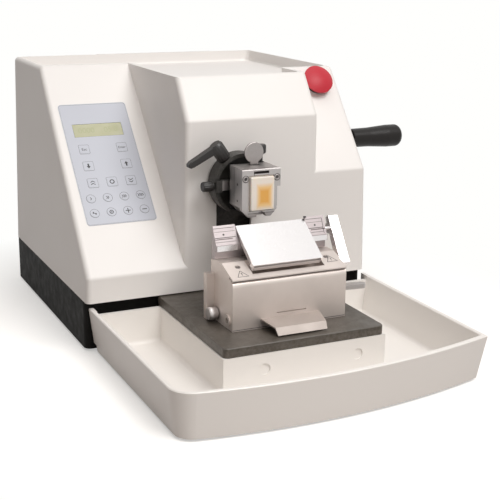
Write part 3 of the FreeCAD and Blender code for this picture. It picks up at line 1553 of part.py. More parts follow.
def tray_outline(inset, back):
    """The tray's outline, drawn at a distance inside its outer face."""
    left = tray_left + inset
    right = tray_right - inset
    corner = d.tray_corner - inset
    return [
        (left, back), (left, d.tray_front_left + d.tray_corner, corner),
        bow_start(corner) + (d.tray_bow - inset,), (right, d.tray_front_right + inset * 1.07), (right, back)]


def tray_loft(made, low, high, low_inset, high_inset, back, cut=False):
    """Adds, or cuts, a form with leaning walls between two of the tray's outlines."""
    lower = sketch_on(made, "Z", low)
    draw_outline(lower, tray_outline(low_inset, back))
    upper = sketch_on(made, "Z", high)
    draw_outline(upper, tray_outline(high_inset, back))
    kind = "PartDesign::SubtractiveLoft" if cut else "PartDesign::AdditiveLoft"
    feature = made.newObject(kind, "tray_cavity" if cut else "tray_form")
    feature.Profile = lower
    feature.Sections = [upper]
    feature.Ruled = True


def waste_tray():
    """Bowed tray with leaning outer walls and a U-shaped channel round the tongue."""
    made = body("waste_tray")
    left = tray_left
    right = tray_right
    back = d.tray_back
    front = d.tray_front_left
    wall = d.tray_wall
    top = d.tray_height
    floor = d.tray_floor
    island = plate_half + 1.5
    nose = plate_front - 0.7
    inner_back = -8
    rim = top - TRAY_BEVEL
    rim_lean = d.tray_lean * (1 - rim / top)
    tray_loft(made, 0, rim, d.tray_lean, rim_lean, back)
    tray_loft(made, rim, top, rim_lean, as_size(TRAY_BEVEL), back)
    tray_loft(made, floor, top, wall + d.tray_lean * (1 - floor / top), wall, as_size(inner_back), cut=True)
    tray_loft(made, rim, top, wall + rim_lean, wall - TRAY_BEVEL, as_size(inner_back), cut=True)
    slab(made, "Z", 0, top, [rectangle(-island, island, nose, inner_back + 1)])
    slab(made, "Z", 0, top, [rectangle(left + wall, right - wall, inner_back + 6, back + 1)], cut=True)
    inside = island - d.island_wall
    slab(made, "Z", 0, top, [rectangle(-inside, inside, nose + d.island_wall, back + 1)], cut=True)
    low = d.tongue_height - d.gap
    slab(made, "Z", low, top, [
        rectangle(left + wall, right - wall, inner_back, inner_back + 7),
        rectangle(-island - 0.1, island + 0.1, nose - 0.1, inner_back + 0.1)], cut=True)
    soften(made, TRAY_ROUND, lambda edge, at: near(at.z, floor))
    middle = (d.holder_left + d.holder_right) / 2 + 5
    slab(made, "Y", nose, nose + 1.5, circles=[
        (middle - 56.5, 28, d.dimple_radius), (middle + 56.5, 28, d.dimple_radius)], cut=True)
    pads = [(left + 30, -30), (right - 30, -30), (left + 40, front + 40), (right - 40, front + 50)]
    slab(made, "Z", -d.foot_height, 0, circles=[(x, y, 8) for x, y in pads])


def failed_objects():
    """Labels of the objects that FreeCAD marks as failed."""
    return [item.Label for item in doc.Objects if {"Invalid", "Error"} & set(item.State)]


def check_and_write():
    doc.recompute()
    failed = failed_objects()
    if failed:
        raise RuntimeError("failed objects: " + ", ".join(failed))
    for name, made in nodes.items():
        if made.Shape.isNull() or not made.Shape.isValid():
            raise RuntimeError("bad shape: " + name)
    for name, made in nodes.items():
        made.Shape.exportStep("parts/" + name + ".step")
    print("wrote", len(nodes), "sub-parts")


MAKERS = (
    base_casting, rubber_feet, slide_plates, plate_screws, housing_shell, keypad_overlay, display_window,
    control_board, power_supply, rear_panel, rear_panel_screws, mains_inlet, switch_frame, power_rocker,
    guide_column, bearing_blocks, shaft_bearings, shaft_seal, crankshaft, crank_disc, crank_roller, handwheel,
    grip_axle, grip, carriage, dust_shield, yoke_plate, feed_motor, feed_screw, specimen_arm, feed_nut,
    head_flange, tilt_frame, swivel_plate, tilt_knob, swivel_knob, locking_lever, clamp_body, clamp_front_plate,
    clamp_screws, cassette, wax_block, clamp_lever, clamp_jaw, holder_base, sloping_plate, sloping_plate_screws,
    pull_tab, clamp_nut, holder_lever, angle_knob, blade_carrier, bed_plate, microtome_blade, pressure_plate,
    blade_lever, stop_switch, stop_button, waste_tray,
)

for maker in MAKERS:
    maker()
check_and_write()
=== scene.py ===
import json
import math

import bmesh
import bpy
from mathutils import Matrix, Vector


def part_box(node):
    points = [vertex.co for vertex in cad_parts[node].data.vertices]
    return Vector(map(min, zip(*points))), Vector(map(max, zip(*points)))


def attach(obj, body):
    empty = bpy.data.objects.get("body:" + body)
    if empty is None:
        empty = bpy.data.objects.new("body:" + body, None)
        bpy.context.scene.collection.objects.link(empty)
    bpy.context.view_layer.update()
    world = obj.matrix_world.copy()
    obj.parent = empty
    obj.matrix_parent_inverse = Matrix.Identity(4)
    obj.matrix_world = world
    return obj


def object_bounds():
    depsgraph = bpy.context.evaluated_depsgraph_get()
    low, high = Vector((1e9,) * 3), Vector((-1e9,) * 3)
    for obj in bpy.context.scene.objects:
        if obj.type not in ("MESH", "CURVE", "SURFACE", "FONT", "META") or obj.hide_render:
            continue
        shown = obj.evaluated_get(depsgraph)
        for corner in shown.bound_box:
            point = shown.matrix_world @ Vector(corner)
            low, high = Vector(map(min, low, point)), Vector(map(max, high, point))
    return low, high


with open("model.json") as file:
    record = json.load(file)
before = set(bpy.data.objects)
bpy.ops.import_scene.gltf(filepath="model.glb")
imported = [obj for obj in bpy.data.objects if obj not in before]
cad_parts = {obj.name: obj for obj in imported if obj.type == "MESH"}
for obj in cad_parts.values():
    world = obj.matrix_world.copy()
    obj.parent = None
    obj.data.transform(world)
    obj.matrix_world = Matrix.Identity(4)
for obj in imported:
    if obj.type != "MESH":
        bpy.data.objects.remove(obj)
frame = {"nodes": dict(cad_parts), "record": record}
cad_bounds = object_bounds()
nodes = frame["nodes"]
MM = 0.001

# Colour sockets of the Mix node, which share their names with its other data types
MIX_FIRST = 6
MIX_SECOND = 7
MIX_RESULT = 2


# Materials

class Shade:
    """A procedural material on one shader, with short calls for its nodes."""

    def __init__(self, name, color, rough, metal=0.0, specular=0.5, coat=0.0):
        self.name = name
        self.material = bpy.data.materials.new(name)
        self.material.use_nodes = True
        self.tree = self.material.node_tree
        self.shader = self.tree.nodes["Principled BSDF"]
        self.color = color
        self.rough = rough
        self.set("Base Color", (*color, 1))
        self.set("Roughness", rough)
        self.set("Metallic", metal)
        self.set("Specular IOR Level", specular)
        self.set("Coat Weight", coat)
        self.set("Coat Roughness", 0.1)
        self.coords = self.tree.nodes.new("ShaderNodeTexCoord")
        self.height = None

    def set(self, socket, value):
        self.shader.inputs[socket].default_value = value

    def link(self, start, end):
        self.tree.links.new(start, end)

    def place(self, stretch=(1, 1, 1)):
        made = self.tree.nodes.new("ShaderNodeMapping")
        made.inputs["Scale"].default_value = stretch
        self.link(self.coords.outputs["Object"], made.inputs["Vector"])
        return made.outputs["Vector"]

    def noise(self, scale, detail=3.0, stretch=(1, 1, 1), rough=0.5):
        made = self.tree.nodes.new("ShaderNodeTexNoise")
        made.inputs["Scale"].default_value = scale
        made.inputs["Detail"].default_value = detail
        made.inputs["Roughness"].default_value = rough
        self.link(self.place(stretch), made.inputs["Vector"])
        return made.outputs["Fac"]

    def cells(self, scale, stretch=(1, 1, 1)):
        made = self.tree.nodes.new("ShaderNodeTexVoronoi")
        made.inputs["Scale"].default_value = scale
        self.link(self.place(stretch), made.inputs["Vector"])
        return made.outputs["Distance"]

    def span(self, source, low, high, start=0.3, end=0.7):
        made = self.tree.nodes.new("ShaderNodeMapRange")
        made.inputs["From Min"].default_value = start
        made.inputs["From Max"].default_value = end
        made.inputs["To Min"].default_value = low
        made.inputs["To Max"].default_value = high
        self.link(source, made.inputs["Value"])
        return made.outputs["Result"]

    def blend(self, other, factor):
        """Mixes the base colour towards another by a factor from 0 to 1."""
        made = self.tree.nodes.new("ShaderNodeMix")
        made.data_type = "RGBA"
        current = self.shader.inputs["Base Color"]
        if current.is_linked:
            self.link(current.links[0].from_socket, made.inputs[MIX_FIRST])
        else:
            made.inputs[MIX_FIRST].default_value = (*self.color, 1)
        made.inputs[MIX_SECOND].default_value = (*other, 1)
        self.link(factor, made.inputs["Factor"])
        self.link(made.outputs[MIX_RESULT], current)

    def tint(self, source, other, start=0.35, end=0.7):
        """Mixes the base colour towards another where the source is high."""
        self.blend(other, self.span(source, 0, 1, start, end))

    def vary(self, source, spread, start=0.3, end=0.7):
        """Spreads the roughness about its middle value."""
        self.link(self.span(source, self.rough - spread, self.rough + spread, start, end),
                  self.shader.inputs["Roughness"])

    def bump(self, source, depth_mm):
        """Adds fine relief on top of what the shader already has."""
        made = self.tree.nodes.new("ShaderNodeBump")
        made.inputs["Strength"].default_value = 1.0
        made.inputs["Distance"].default_value = depth_mm * MM
        self.link(source, made.inputs["Height"])
        if self.height is not None:
            self.link(self.height, made.inputs["Normal"])
        self.height = made.outputs["Normal"]
        self.link(self.height, self.shader.inputs["Normal"])

    def wear(self, other, amount):
        """Lighter or darker colour on convex edges, broken up by noise."""
        geometry = self.tree.nodes.new("ShaderNodeNewGeometry")
        edge = self.span(geometry.outputs["Pointiness"], 0, amount, 0.52, 0.62)
        broken = self.tree.nodes.new("ShaderNodeMath")
        broken.operation = "MULTIPLY"
        self.link(edge, broken.inputs[0])
        self.link(self.span(self.noise(300, 4), 0.2, 1), broken.inputs[1])
        self.blend(other, broken.outputs[0])


def lighter(color, by):
    """The colour with each channel multiplied, within 0 and 1."""
    return tuple(min(1, max(0, c * by)) for c in color)


def moulded(name, color, rough, peel):
    """Smooth plastic with a faint orange peel."""
    made = Shade(name, color, rough)
    made.tint(made.noise(5, 2), lighter(color, 0.985), 0.2, 0.9)
    made.vary(made.noise(30, 3), 0.03, 0.2, 0.8)
    made.bump(made.noise(700, 2), peel)
    return made


def enamel(name, color, rough, grain, worn=None):
    """Grained paint, worn to another colour on its edges if one is given."""
    made = Shade(name, color, rough, specular=0.45)
    made.tint(made.noise(40, 4), lighter(color, 1.35))
    made.vary(made.noise(90, 4), 0.08)
    made.bump(made.cells(900), grain)
    if worn:
        made.wear(worn, 0.6)
    return made


def ground(name, color, rough, stretch, depth=0.012):
    """Metal with grinding lines along the axis of the smallest stretch."""
    made = Shade(name, color, rough, metal=1.0)
    lines = made.noise(14, 5, stretch, 0.7)
    made.tint(lines, lighter(color, 0.86))
    made.vary(lines, 0.08)
    made.bump(lines, depth)
    made.tint(made.noise(28, 3), lighter(color, 0.93))
    return made


def blasted(name, color, rough=0.42):
    """Matt metal with a fine blasted grain."""
    made = Shade(name, color, rough, metal=1.0)
    made.tint(made.noise(30, 4), lighter(color, 0.92))
    made.vary(made.noise(45, 3), 0.06)
    made.bump(made.noise(1600, 2), 0.03)
    return made


housing_white = moulded("housing_white", (0.85, 0.825, 0.80), 0.45, 0.012)
tray_white = moulded("tray_white", (0.85, 0.82, 0.785), 0.4, 0.01)
base_black = enamel("base_black", (0.010, 0.0095, 0.009), 0.62, 0.06)
base_black.set("Specular IOR Level", 0.06)
plate_black = enamel("plate_black", (0.048, 0.040, 0.031), 0.42, 0.05, (0.2, 0.18, 0.16))
head_black = enamel("head_black", (0.010, 0.009, 0.007), 0.42, 0.04, (0.08, 0.075, 0.07))
wheel_grey = enamel("wheel_grey", (0.03, 0.03, 0.031), 0.35, 0.06, (0.12, 0.12, 0.12))
grip_black = moulded("grip_black", (0.012, 0.010, 0.009), 0.36, 0.02)
grip_black.set("Specular IOR Level", 0.25)
knob_black = moulded("knob_black", (0.012, 0.010, 0.009), 0.4, 0.03)
rubber_black = moulded("rubber_black", (0.015, 0.015, 0.015), 0.75, 0.06)
holder_silver = blasted("holder_silver", (0.66, 0.59, 0.55))
holder_silver.set("Metallic", 0.8)
bar_silver = ground("bar_silver", (0.40, 0.355, 0.355), 0.5, (8, 120, 120))
clamp_silver = ground("clamp_silver", (0.46, 0.43, 0.42), 0.38, (60, 60, 8))
steel = ground("steel", (0.50, 0.47, 0.46), 0.34, (120, 8, 120))
bright_steel = ground("bright_steel", (0.84, 0.81, 0.81), 0.24, (120, 5, 120), 0.002)
screw_steel = ground("screw_steel", (0.36, 0.33, 0.32), 0.34, (60, 60, 60))
tab_silver = blasted("tab_silver", (0.40, 0.35, 0.32), 0.5)
tab_silver.set("Metallic", 0.35)
# Lighter and less metallic than the holder's silver: painted light that lifts the bed plate out of the shade
# under the pressure plate
bed_silver_painted_light = blasted("bed_silver_painted_light", (0.80, 0.75, 0.73), 0.4)
bed_silver_painted_light.set("Metallic", 0.3)
# Near-black finish for print and the bar's stop, and painted shade in grooves, gaps, screw holes and sockets
dark_finish_and_painted_shade = enamel("dark_finish_and_painted_shade", (0.05, 0.045, 0.045), 0.6, 0.02)
cast_grey = enamel("cast_grey", (0.10, 0.105, 0.11), 0.5, 0.2, (0.25, 0.25, 0.25))
bearing_brass = ground("bearing_brass", (0.62, 0.45, 0.18), 0.28, (120, 12, 12))
sheet_grey = enamel("sheet_grey", (0.34, 0.345, 0.35), 0.4, 0.04)
overlay_grey = moulded("overlay_grey", (0.52, 0.54, 0.60), 0.42, 0.03)
board_green = moulded("board_green", (0.02, 0.12, 0.05), 0.3, 0.03)
stop_red = moulded("stop_red", (0.52, 0.028, 0.045), 0.42, 0.02)
stop_red.set("Specular IOR Level", 0.3)
cassette_cream = moulded("cassette_cream", (0.86, 0.80, 0.72), 0.5, 0.05)


def display_material():
    """Dull green display with a glossy cover."""
    made = Shade("display_green", (0.43, 0.43, 0.26), 0.15, coat=0.3)
    made.tint(made.noise(60, 2), (0.47, 0.47, 0.30))
    made.bump(made.noise(900, 1), 0.004)
    return made


def wax_material(low, high):
    """Pale wax whose middle shows an amber piece of tissue with soft straight borders."""
    made = Shade("wax_cream", (0.86, 0.79, 0.71), 0.35, coat=0.15)
    made.set("Subsurface Weight", 0.2)
    made.set("Subsurface Radius", (0.004, 0.002, 0.001))
    made.set("Subsurface Scale", 1.0)
    middle = (low + high) / 2
    spot_x = middle.x + 0.0022
    spot_z = middle.z - 0.003
    half_x = 0.0095
    half_z = 0.0135
    mapping = made.tree.nodes.new("ShaderNodeMapping")
    mapping.inputs["Location"].default_value = (-spot_x / half_x, 0, -spot_z / half_z)
    mapping.inputs["Scale"].default_value = (1 / half_x, 0, 1 / half_z)
    made.link(made.coords.outputs["Object"], mapping.inputs["Vector"])
    parts = made.tree.nodes.new("ShaderNodeSeparateXYZ")
    made.link(mapping.outputs["Vector"], parts.inputs[0])
    sides = []
    for axis in ("X", "Z"):
        size = made.tree.nodes.new("ShaderNodeMath")
        size.operation = "ABSOLUTE"
        made.link(parts.outputs[axis], size.inputs[0])
        sides.append(size.outputs[0])
    furthest = made.tree.nodes.new("ShaderNodeMath")
    furthest.operation = "MAXIMUM"
    made.link(sides[0], furthest.inputs[0])
    made.link(sides[1], furthest.inputs[1])
    inside = made.span(furthest.outputs[0], 1, 0, 0.45, 1.15)
    made.tint(inside, (0.86, 0.58, 0.26), 0.0, 0.55)
    made.tint(inside, (0.80, 0.42, 0.09), 0.6, 1.0)
    made.vary(made.noise(200, 3), 0.06)
    made.bump(made.noise(500, 3), 0.03)
    return made


display_green = display_material()
wax_cream = wax_material(*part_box("wax_block"))

# The record's material slots, each under its shader's name
MATERIALS = {shade.name: shade for shade in (
    housing_white, tray_white, base_black, plate_black, head_black, wheel_grey, grip_black, knob_black,
    rubber_black, holder_silver, clamp_silver, steel, bright_steel, screw_steel, cast_grey, bearing_brass,
    sheet_grey, overlay_grey, board_green, stop_red, cassette_cream, display_green, wax_cream)}

# Nodes whose finish differs from the others in their slot; the bed plate's finish carries painted light
SPECIAL = {
    "pull_tab": tab_silver,
    "bed_plate": bed_silver_painted_light,
    "blade_carrier": bar_silver,
    "clamp_lever": screw_steel,
}

for part in frame["record"]["subparts"]:
    mesh = nodes[part["node"]].data
    shade = SPECIAL.get(part["node"], MATERIALS[part["material_slot"]])
    mesh.materials.clear()
    mesh.materials.append(shade.material)


# Mesh builders

def finish_mesh(name, work, shade, body, smooth=40):
    """Turns the work into a visible piece that rides a body; edges over the angle stay sharp."""
    mesh = bpy.data.meshes.new(name)
    bmesh.ops.recalc_face_normals(work, faces=work.faces)
    work.to_mesh(mesh)
    work.free()
    made = bpy.data.objects.new(name, mesh)
    bpy.context.scene.collection.objects.link(made)
    mesh.materials.append(shade.material)
    for face in mesh.polygons:
        face.use_smooth = True
    mesh.set_sharp_from_angle(angle=math.radians(smooth))
    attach(made, body)


def join_rings(work, rings):
    """Closes rings of vertices into one solid, with a face on each end."""
    count = len(rings[0])
    for a, b in zip(rings, rings[1:]):
        for i in range(count):
            work.faces.new((a[i], a[(i + 1) % count], b[(i + 1) % count], b[i]))
    work.faces.new(list(reversed(rings[0])))
    work.faces.new(rings[-1])


def prism(work, outline, low, high, matrix):
    """A flat plate of an outline between two levels."""
    join_rings(work, [[work.verts.new(matrix @ Vector((x, y, level))) for x, y in outline]
                      for level in (low, high)])


def lathe(work, profile, matrix, segments, flutes=0, depth=0.0, fluted=(0, 0)):
    """Turns (radius, height) points about the matrix's Z; flutes cut into the given heights."""
    rings = []
    for radius, height in profile:
        ring = []
        for i in range(segments):
            angle = 2 * math.pi * i / segments
            r = radius
            if flutes and fluted[0] <= height <= fluted[1]:
                r -= depth * (0.5 - 0.5 * math.cos(flutes * angle)) ** 2
            ring.append(work.verts.new(matrix @ Vector((r * math.cos(angle), r * math.sin(angle), height))))
        rings.append(ring)
    join_rings(work, rings)


def arc(x, y, radius, start, end, steps):
    """Points along a circle from one angle to another, in degrees."""
    out = []
    for i in range(steps + 1):
        angle = math.radians(start + (end - start) * i / steps)
        out.append((x + radius * math.cos(angle), y + radius * math.sin(angle)))
    return out


def round_box(x, y, half_x, half_y, radius, steps=5):
    """Outline of a rectangle with rounded corners about a middle."""
    out = []
    for sx, sy, start in ((1, -1, -90), (1, 1, 0), (-1, 1, 90), (-1, -1, 180)):
        out += arc(x + sx * (half_x - radius), y + sy * (half_y - radius), radius, start, start + 90, steps)
    return out


# Control panel markings

LEFT_SILL = 88
HOUSING_TOP = 310
SLOPE_RUN = 202
LEFT_SLOPE = math.atan2(HOUSING_TOP - LEFT_SILL, SLOPE_RUN)
panel = Matrix.Translation((0, 0, LEFT_SILL * MM)) @ Matrix.Rotation(LEFT_SLOPE, 4, "X") @ Matrix.Scale(MM, 4)
PANEL_MIDDLE = (-167.8 - 80.7) / 2
KEY_TOP = 0.8
KEY_SIDE = 24
WORD_ROW = 173.6
ARROW_ROW = 149.6
PEAK_ROW = 125.6
ROUND_ROWS = (104.3, 84.3)
ROUND_COLUMNS = (-31.2, -10.4, 10.4, 31.2)
SYMBOL_RISE = 0.06
LINE_RISE = 0.05
DISPLAY_MIDDLE = (-156 - 93) / 2
ink = moulded("ink", (0.035, 0.035, 0.04), 0.45, 0.01)
line_ink = moulded("ink_line", (0.10, 0.105, 0.13), 0.45, 0.01)
lcd_ink = moulded("display_ink", (0.36, 0.38, 0.20), 0.3, 0.005)


def polygon_mark(work, points):
    prism(work, points, KEY_TOP, KEY_TOP + SYMBOL_RISE, panel)


def box_mark(work, x, y, half_x, half_y, radius):
    polygon_mark(work, round_box(x, y, half_x, half_y, radius, 2))


def chevron(x, y, size):
    """Outline of an arrow head that points right."""
    stroke = size * 0.35
    rear = x - size * 0.3
    tip = x + size * 0.5
    return [(x - stroke - size * 0.3, y - size), (rear + stroke * 0.4, y - size), (tip, y),
            (rear + stroke * 0.4, y + size), (x - stroke - size * 0.3, y + size), (tip - stroke * 1.4, y)]


def arrow(x, y, size, up):
    """Outline of a full arrow that points up or down."""
    way = size if up else -size
    return [(x - 0.28 * size, y - way), (x + 0.28 * size, y - way), (x + 0.28 * size, y),
            (x + 0.75 * size, y), (x, y + way), (x - 0.75 * size, y), (x - 0.28 * size, y)]


def ring_mark(work, x, y, outer, inner, level=KEY_TOP):
    """A printed ring about a point on the panel."""
    steps = 28
    outside = []
    inside = []
    for radius, store in ((outer, outside), (inner, inside)):
        for z in (level, level + SYMBOL_RISE):
            store.append([work.verts.new(panel @ Vector((x + radius * math.cos(2 * math.pi * i / steps),
                                                         y + radius * math.sin(2 * math.pi * i / steps), z)))
                          for i in range(steps)])
    for i in range(steps):
        j = (i + 1) % steps
        work.faces.new((outside[1][i], outside[1][j], inside[1][j], inside[1][i]))
        work.faces.new((outside[0][i], outside[0][j], outside[1][j], outside[1][i]))
        work.faces.new((inside[1][i], inside[1][j], inside[0][j], inside[0][i]))
        work.faces.new((inside[0][i], inside[0][j], outside[0][j], outside[0][i]))


def outline_ring(work, points, width, level):
    """A thin printed line that follows a closed outline."""
    middle = Vector((sum(p[0] for p in points), sum(p[1] for p in points))) / len(points)
    count = len(points)
    pairs = []
    for spot in points:
        away = Vector(spot) - middle
        pairs.append((Vector(spot), middle + away * (1 - width / away.length)))
    low, high = [[tuple(work.verts.new(panel @ Vector((spot.x, spot.y, z))) for spot in pair)
                  for pair in pairs] for z in (level, level + LINE_RISE)]
    for i in range(count):
        j = (i + 1) % count
        work.faces.new((high[i][0], high[j][0], high[j][1], high[i][1]))
        work.faces.new((low[i][0], low[j][0], high[j][0], high[i][0]))
        work.faces.new((high[i][1], high[j][1], low[j][1], low[i][1]))
        work.faces.new((low[i][1], low[j][1], low[j][0], low[i][0]))


def peak(x, y, up):
    """Outline of a flat peak, the right way up for 1 and upside down for -1."""
    return [(x - 2.8, y - 0.9 * up), (x, y + 0.9 * up), (x + 2.8, y - 0.9 * up),
            (x + 2.8, y + 0.1 * up), (x, y + 2.0 * up), (x - 2.8, y + 0.1 * up)]


def panel_symbols():
    work = bmesh.new()
    m = PANEL_MIDDLE
    upper_round, lower_round = ROUND_ROWS
    polygon_mark(work, arrow(m - KEY_SIDE, ARROW_ROW, 3.4, False))
    polygon_mark(work, arrow(m + KEY_SIDE, ARROW_ROW, 3.4, True))
    for side, up in ((-KEY_SIDE, 1), (KEY_SIDE, -1)):
        for lift in (-1.9, 1.3):
            polygon_mark(work, peak(m + side, PEAK_ROW + lift * up, up))
    ring_mark(work, m, PEAK_ROW, 3.1, 1.9)
    for number, x in enumerate(ROUND_COLUMNS, 1):
        for i in range(number):
            polygon_mark(work, chevron(m + x + (i - (number - 1) / 2) * 1.9, upper_round, 1.9))
    slider, target, plus, minus = (m + x for x in ROUND_COLUMNS)
    box_mark(work, plus, lower_round, 3.2, 0.55, 0.2)
    box_mark(work, plus, lower_round + 1.9, 0.55, 1.3, 0.2)
    box_mark(work, plus, lower_round - 1.9, 0.55, 1.3, 0.2)
    box_mark(work, minus, lower_round, 3.0, 0.55, 0.2)
    ring_mark(work, target, lower_round, 2.6, 1.6)
    ring_mark(work, target, lower_round, 0.8, 0.3)
    box_mark(work, slider - 1.4, lower_round + 1.1, 0.8, 0.8, 0.3)
    box_mark(work, slider + 1.3, lower_round - 1.1, 0.8, 0.8, 0.3)
    box_mark(work, slider, lower_round, 2.4, 0.3, 0.1)
    finish_mesh("keypad_symbols", work, ink, "base")


def panel_lines():
    work = bmesh.new()
    m = PANEL_MIDDLE
    for x, s in ((-KEY_SIDE, WORD_ROW), (KEY_SIDE, WORD_ROW),
                 (-KEY_SIDE, ARROW_ROW), (KEY_SIDE, ARROW_ROW),
                 (-KEY_SIDE, PEAK_ROW), (0, PEAK_ROW), (KEY_SIDE, PEAK_ROW)):
        outline_ring(work, round_box(m + x, s, 6.6, 6.6, 1.6), 0.35, 0.5)
    for s in ROUND_ROWS:
        for x in ROUND_COLUMNS:
            ring_mark(work, m + x, s, 5.9, 5.5, 0.48)
    outline_ring(work, round_box(m, 154.1, 42.6, 85.0, 3), 0.3, 0.5)
    finish_mesh("keypad_lines", work, line_ink, "base")


def words(name, text, x, s, size, level, shade):
    """Raised text on the panel, centred on a point."""
    curve = bpy.data.curves.new(name, "FONT")
    curve.body = text
    curve.size = size
    curve.extrude = 0.03
    curve.align_x = "CENTER"
    curve.align_y = "CENTER"
    made = bpy.data.objects.new(name, curve)
    bpy.context.scene.collection.objects.link(made)
    made.matrix_world = panel @ Matrix.Translation((x, s, level))
    bpy.context.view_layer.update()
    mesh = bpy.data.meshes.new_from_object(made.evaluated_get(bpy.context.evaluated_depsgraph_get()))
    solid = bpy.data.objects.new(name, mesh)
    bpy.context.scene.collection.objects.link(solid)
    mesh.transform(made.matrix_world)
    mesh.materials.clear()
    mesh.materials.append(shade.material)
    bpy.data.objects.remove(made)
    solid.name = name
    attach(solid, "base")


panel_symbols()
panel_lines()
words("key_word_left", "Esc", PANEL_MIDDLE - KEY_SIDE, WORD_ROW - 0.2, 5.2, KEY_TOP + 0.02, ink)
words("key_word_right", "Enter", PANEL_MIDDLE + KEY_SIDE, WORD_ROW - 0.2, 4.4, KEY_TOP + 0.02, ink)
words("display_digits", "0000    05.0", DISPLAY_MIDDLE, 200.6, 10.5, 0.32, lcd_ink)


# Knife holder details

HOLDER_LEFT = -68
HOLDER_RIGHT = 71
BLADE_LEFT = -42
BLADE_RIGHT = 47.5
EDGE_Y = -89.5
EDGE_Z = 158
BAR_TILT = 27.2
BLOCK_FRONT = -148
SLOPE_FOOT = 114.8
SLOPE_ANGLE = 20.5
INLAY_DEPTH = 0.3


def upright(x, y, z, turn_x=0.0, turn_y=0.0, turn_z=0.0):
    """Frame matrix in millimetres at a point, turned about X, Y and Z in degrees."""
    turned = Matrix.Rotation(math.radians(turn_z), 4, "Z") @ Matrix.Rotation(math.radians(turn_y), 4, "Y")
    turned = turned @ Matrix.Rotation(math.radians(turn_x), 4, "X")
    return Matrix.Translation((x * MM, y * MM, z * MM)) @ turned @ Matrix.Scale(MM, 4)


def strip(work, left, right, low, high, lift, matrix):
    """A narrow inlay that shows as an engraved line or a shadow gap, whose dark colour is then painted shade.
    """
    prism(work, [(left, low), (right, low), (right, high), (left, high)], -INLAY_DEPTH, lift, matrix)


def bar_face(z):
    """Matrix on the sloping front face of the rear bar at a height."""
    run = (z - (EDGE_Z - 17)) / 20
    y = EDGE_Y - 11.5 + run * 10.3
    return upright(0, y, z, 90 - BAR_TILT)


def bar_details():
    """Painted shade in the grooves and screw holes, a rounded stop and a bright step on both ends of the rear
    bar.
    """
    work = bmesh.new()
    # Dark strips and discs: painted shade in the bar's grooves and screw holes
    for left, right in ((HOLDER_LEFT + 1.2, BLADE_LEFT), (BLADE_RIGHT, HOLDER_RIGHT - 3)):
        for z, wide in ((158.2, 0.5), (154.6, 0.35), (148.6, 0.7), (144.2, 0.4)):
            strip(work, left, right, -wide / 2, wide / 2, 0.12, bar_face(z))
    strip(work, HOLDER_RIGHT - 3.2, HOLDER_RIGHT - 2.6, -9, 9, 0.12, bar_face(150.5))
    for x in (-56, 58):
        spot = bar_face(151.6) @ Matrix.Translation((x, 0, 0))
        lathe(work, [(0.2, -INLAY_DEPTH), (1.15, -INLAY_DEPTH), (1.15, 0.16), (0.2, 0.16)], spot, 20)
    finish_mesh("bar_groove_and_hole_shade", work, dark_finish_and_painted_shade, "carrier")
    work = bmesh.new()
    spot = upright(BLADE_RIGHT - 1, EDGE_Y - 2.6, EDGE_Z + 3.2)
    lathe(work, [(0.3, -0.4), (1.7, -0.4), (1.9, 0.2), (1.5, 0.9), (0.3, 1.1)], spot, 24)
    finish_mesh("bar_stop", work, dark_finish_and_painted_shade, "carrier")
    work = bmesh.new()
    for left, right in ((HOLDER_LEFT + 1.4, BLADE_LEFT), (BLADE_RIGHT, HOLDER_RIGHT - 0.4)):
        strip(work, left, right, -3.1, 3.1, 0.2, upright(0, EDGE_Y - 13.5, EDGE_Z - 20.2, 90))
    finish_mesh("bar_step", work, bright_steel, "carrier")


def slope_point(x, along):
    """Matrix on the sloping plate, along its slope from the front edge."""
    y = BLOCK_FRONT + along * math.cos(math.radians(SLOPE_ANGLE))
    z = SLOPE_FOOT + along * math.sin(math.radians(SLOPE_ANGLE))
    return upright(x, y, z, SLOPE_ANGLE)


def slope_details():
    """A warning triangle at each end of the sloping plate."""
    work = bmesh.new()
    corners = [(-6.4, -4.6), (6.4, -4.6), (0.0, 6.0)]
    for mark in (slope_point(-53.5, 9.5), slope_point(59.5, 17)):
        for i in range(3):
            a = Vector(corners[i])
            b = Vector(corners[(i + 1) % 3])
            side = (b - a).normalized()
            out = Vector((side.y, -side.x)) * 0.32
            prism(work, [tuple(a - out), tuple(b - out), tuple(b + out), tuple(a + out)], -0.2, 0.08, mark)
        prism(work, [(-0.4, -2.6), (0.4, -2.6), (0.4, -1.8), (-0.4, -1.8)], -0.2, 0.08, mark)
        prism(work, [(-0.4, -1.2), (0.4, -1.2), (0.55, 2.2), (-0.55, 2.2)], -0.2, 0.08, mark)
    finish_mesh("slope_marks", work, dark_finish_and_painted_shade, "holder")


def front_details():
    """Painted shadow under the front plate's edge and painted shade in the engraved line on the block's
    front.
    """
    work = bmesh.new()
    # Dark strips: painted shadow under the plate's edge at the top, painted shade in the engraved line at the
    # bottom
    for z, wide in ((113.1, 0.7), (58.2, 0.6)):
        front = upright(0, BLOCK_FRONT, z, 90)
        strip(work, HOLDER_LEFT + 0.5, HOLDER_RIGHT - 0.5, -wide / 2, wide / 2, 0.1, front)
    finish_mesh("block_painted_shadow_lines", work, dark_finish_and_painted_shade, "holder")


# Specimen head details

CLAMP_LEFT = -21
CLAMP_FRONT = -70
PLATE_BACK = -64
CLAMP_TOP = 216
CLAMP_LOW = 171
CLAMP_SCREWS = (-17.6, 21.6)
CLAMP_SCREW_Z = 205.5


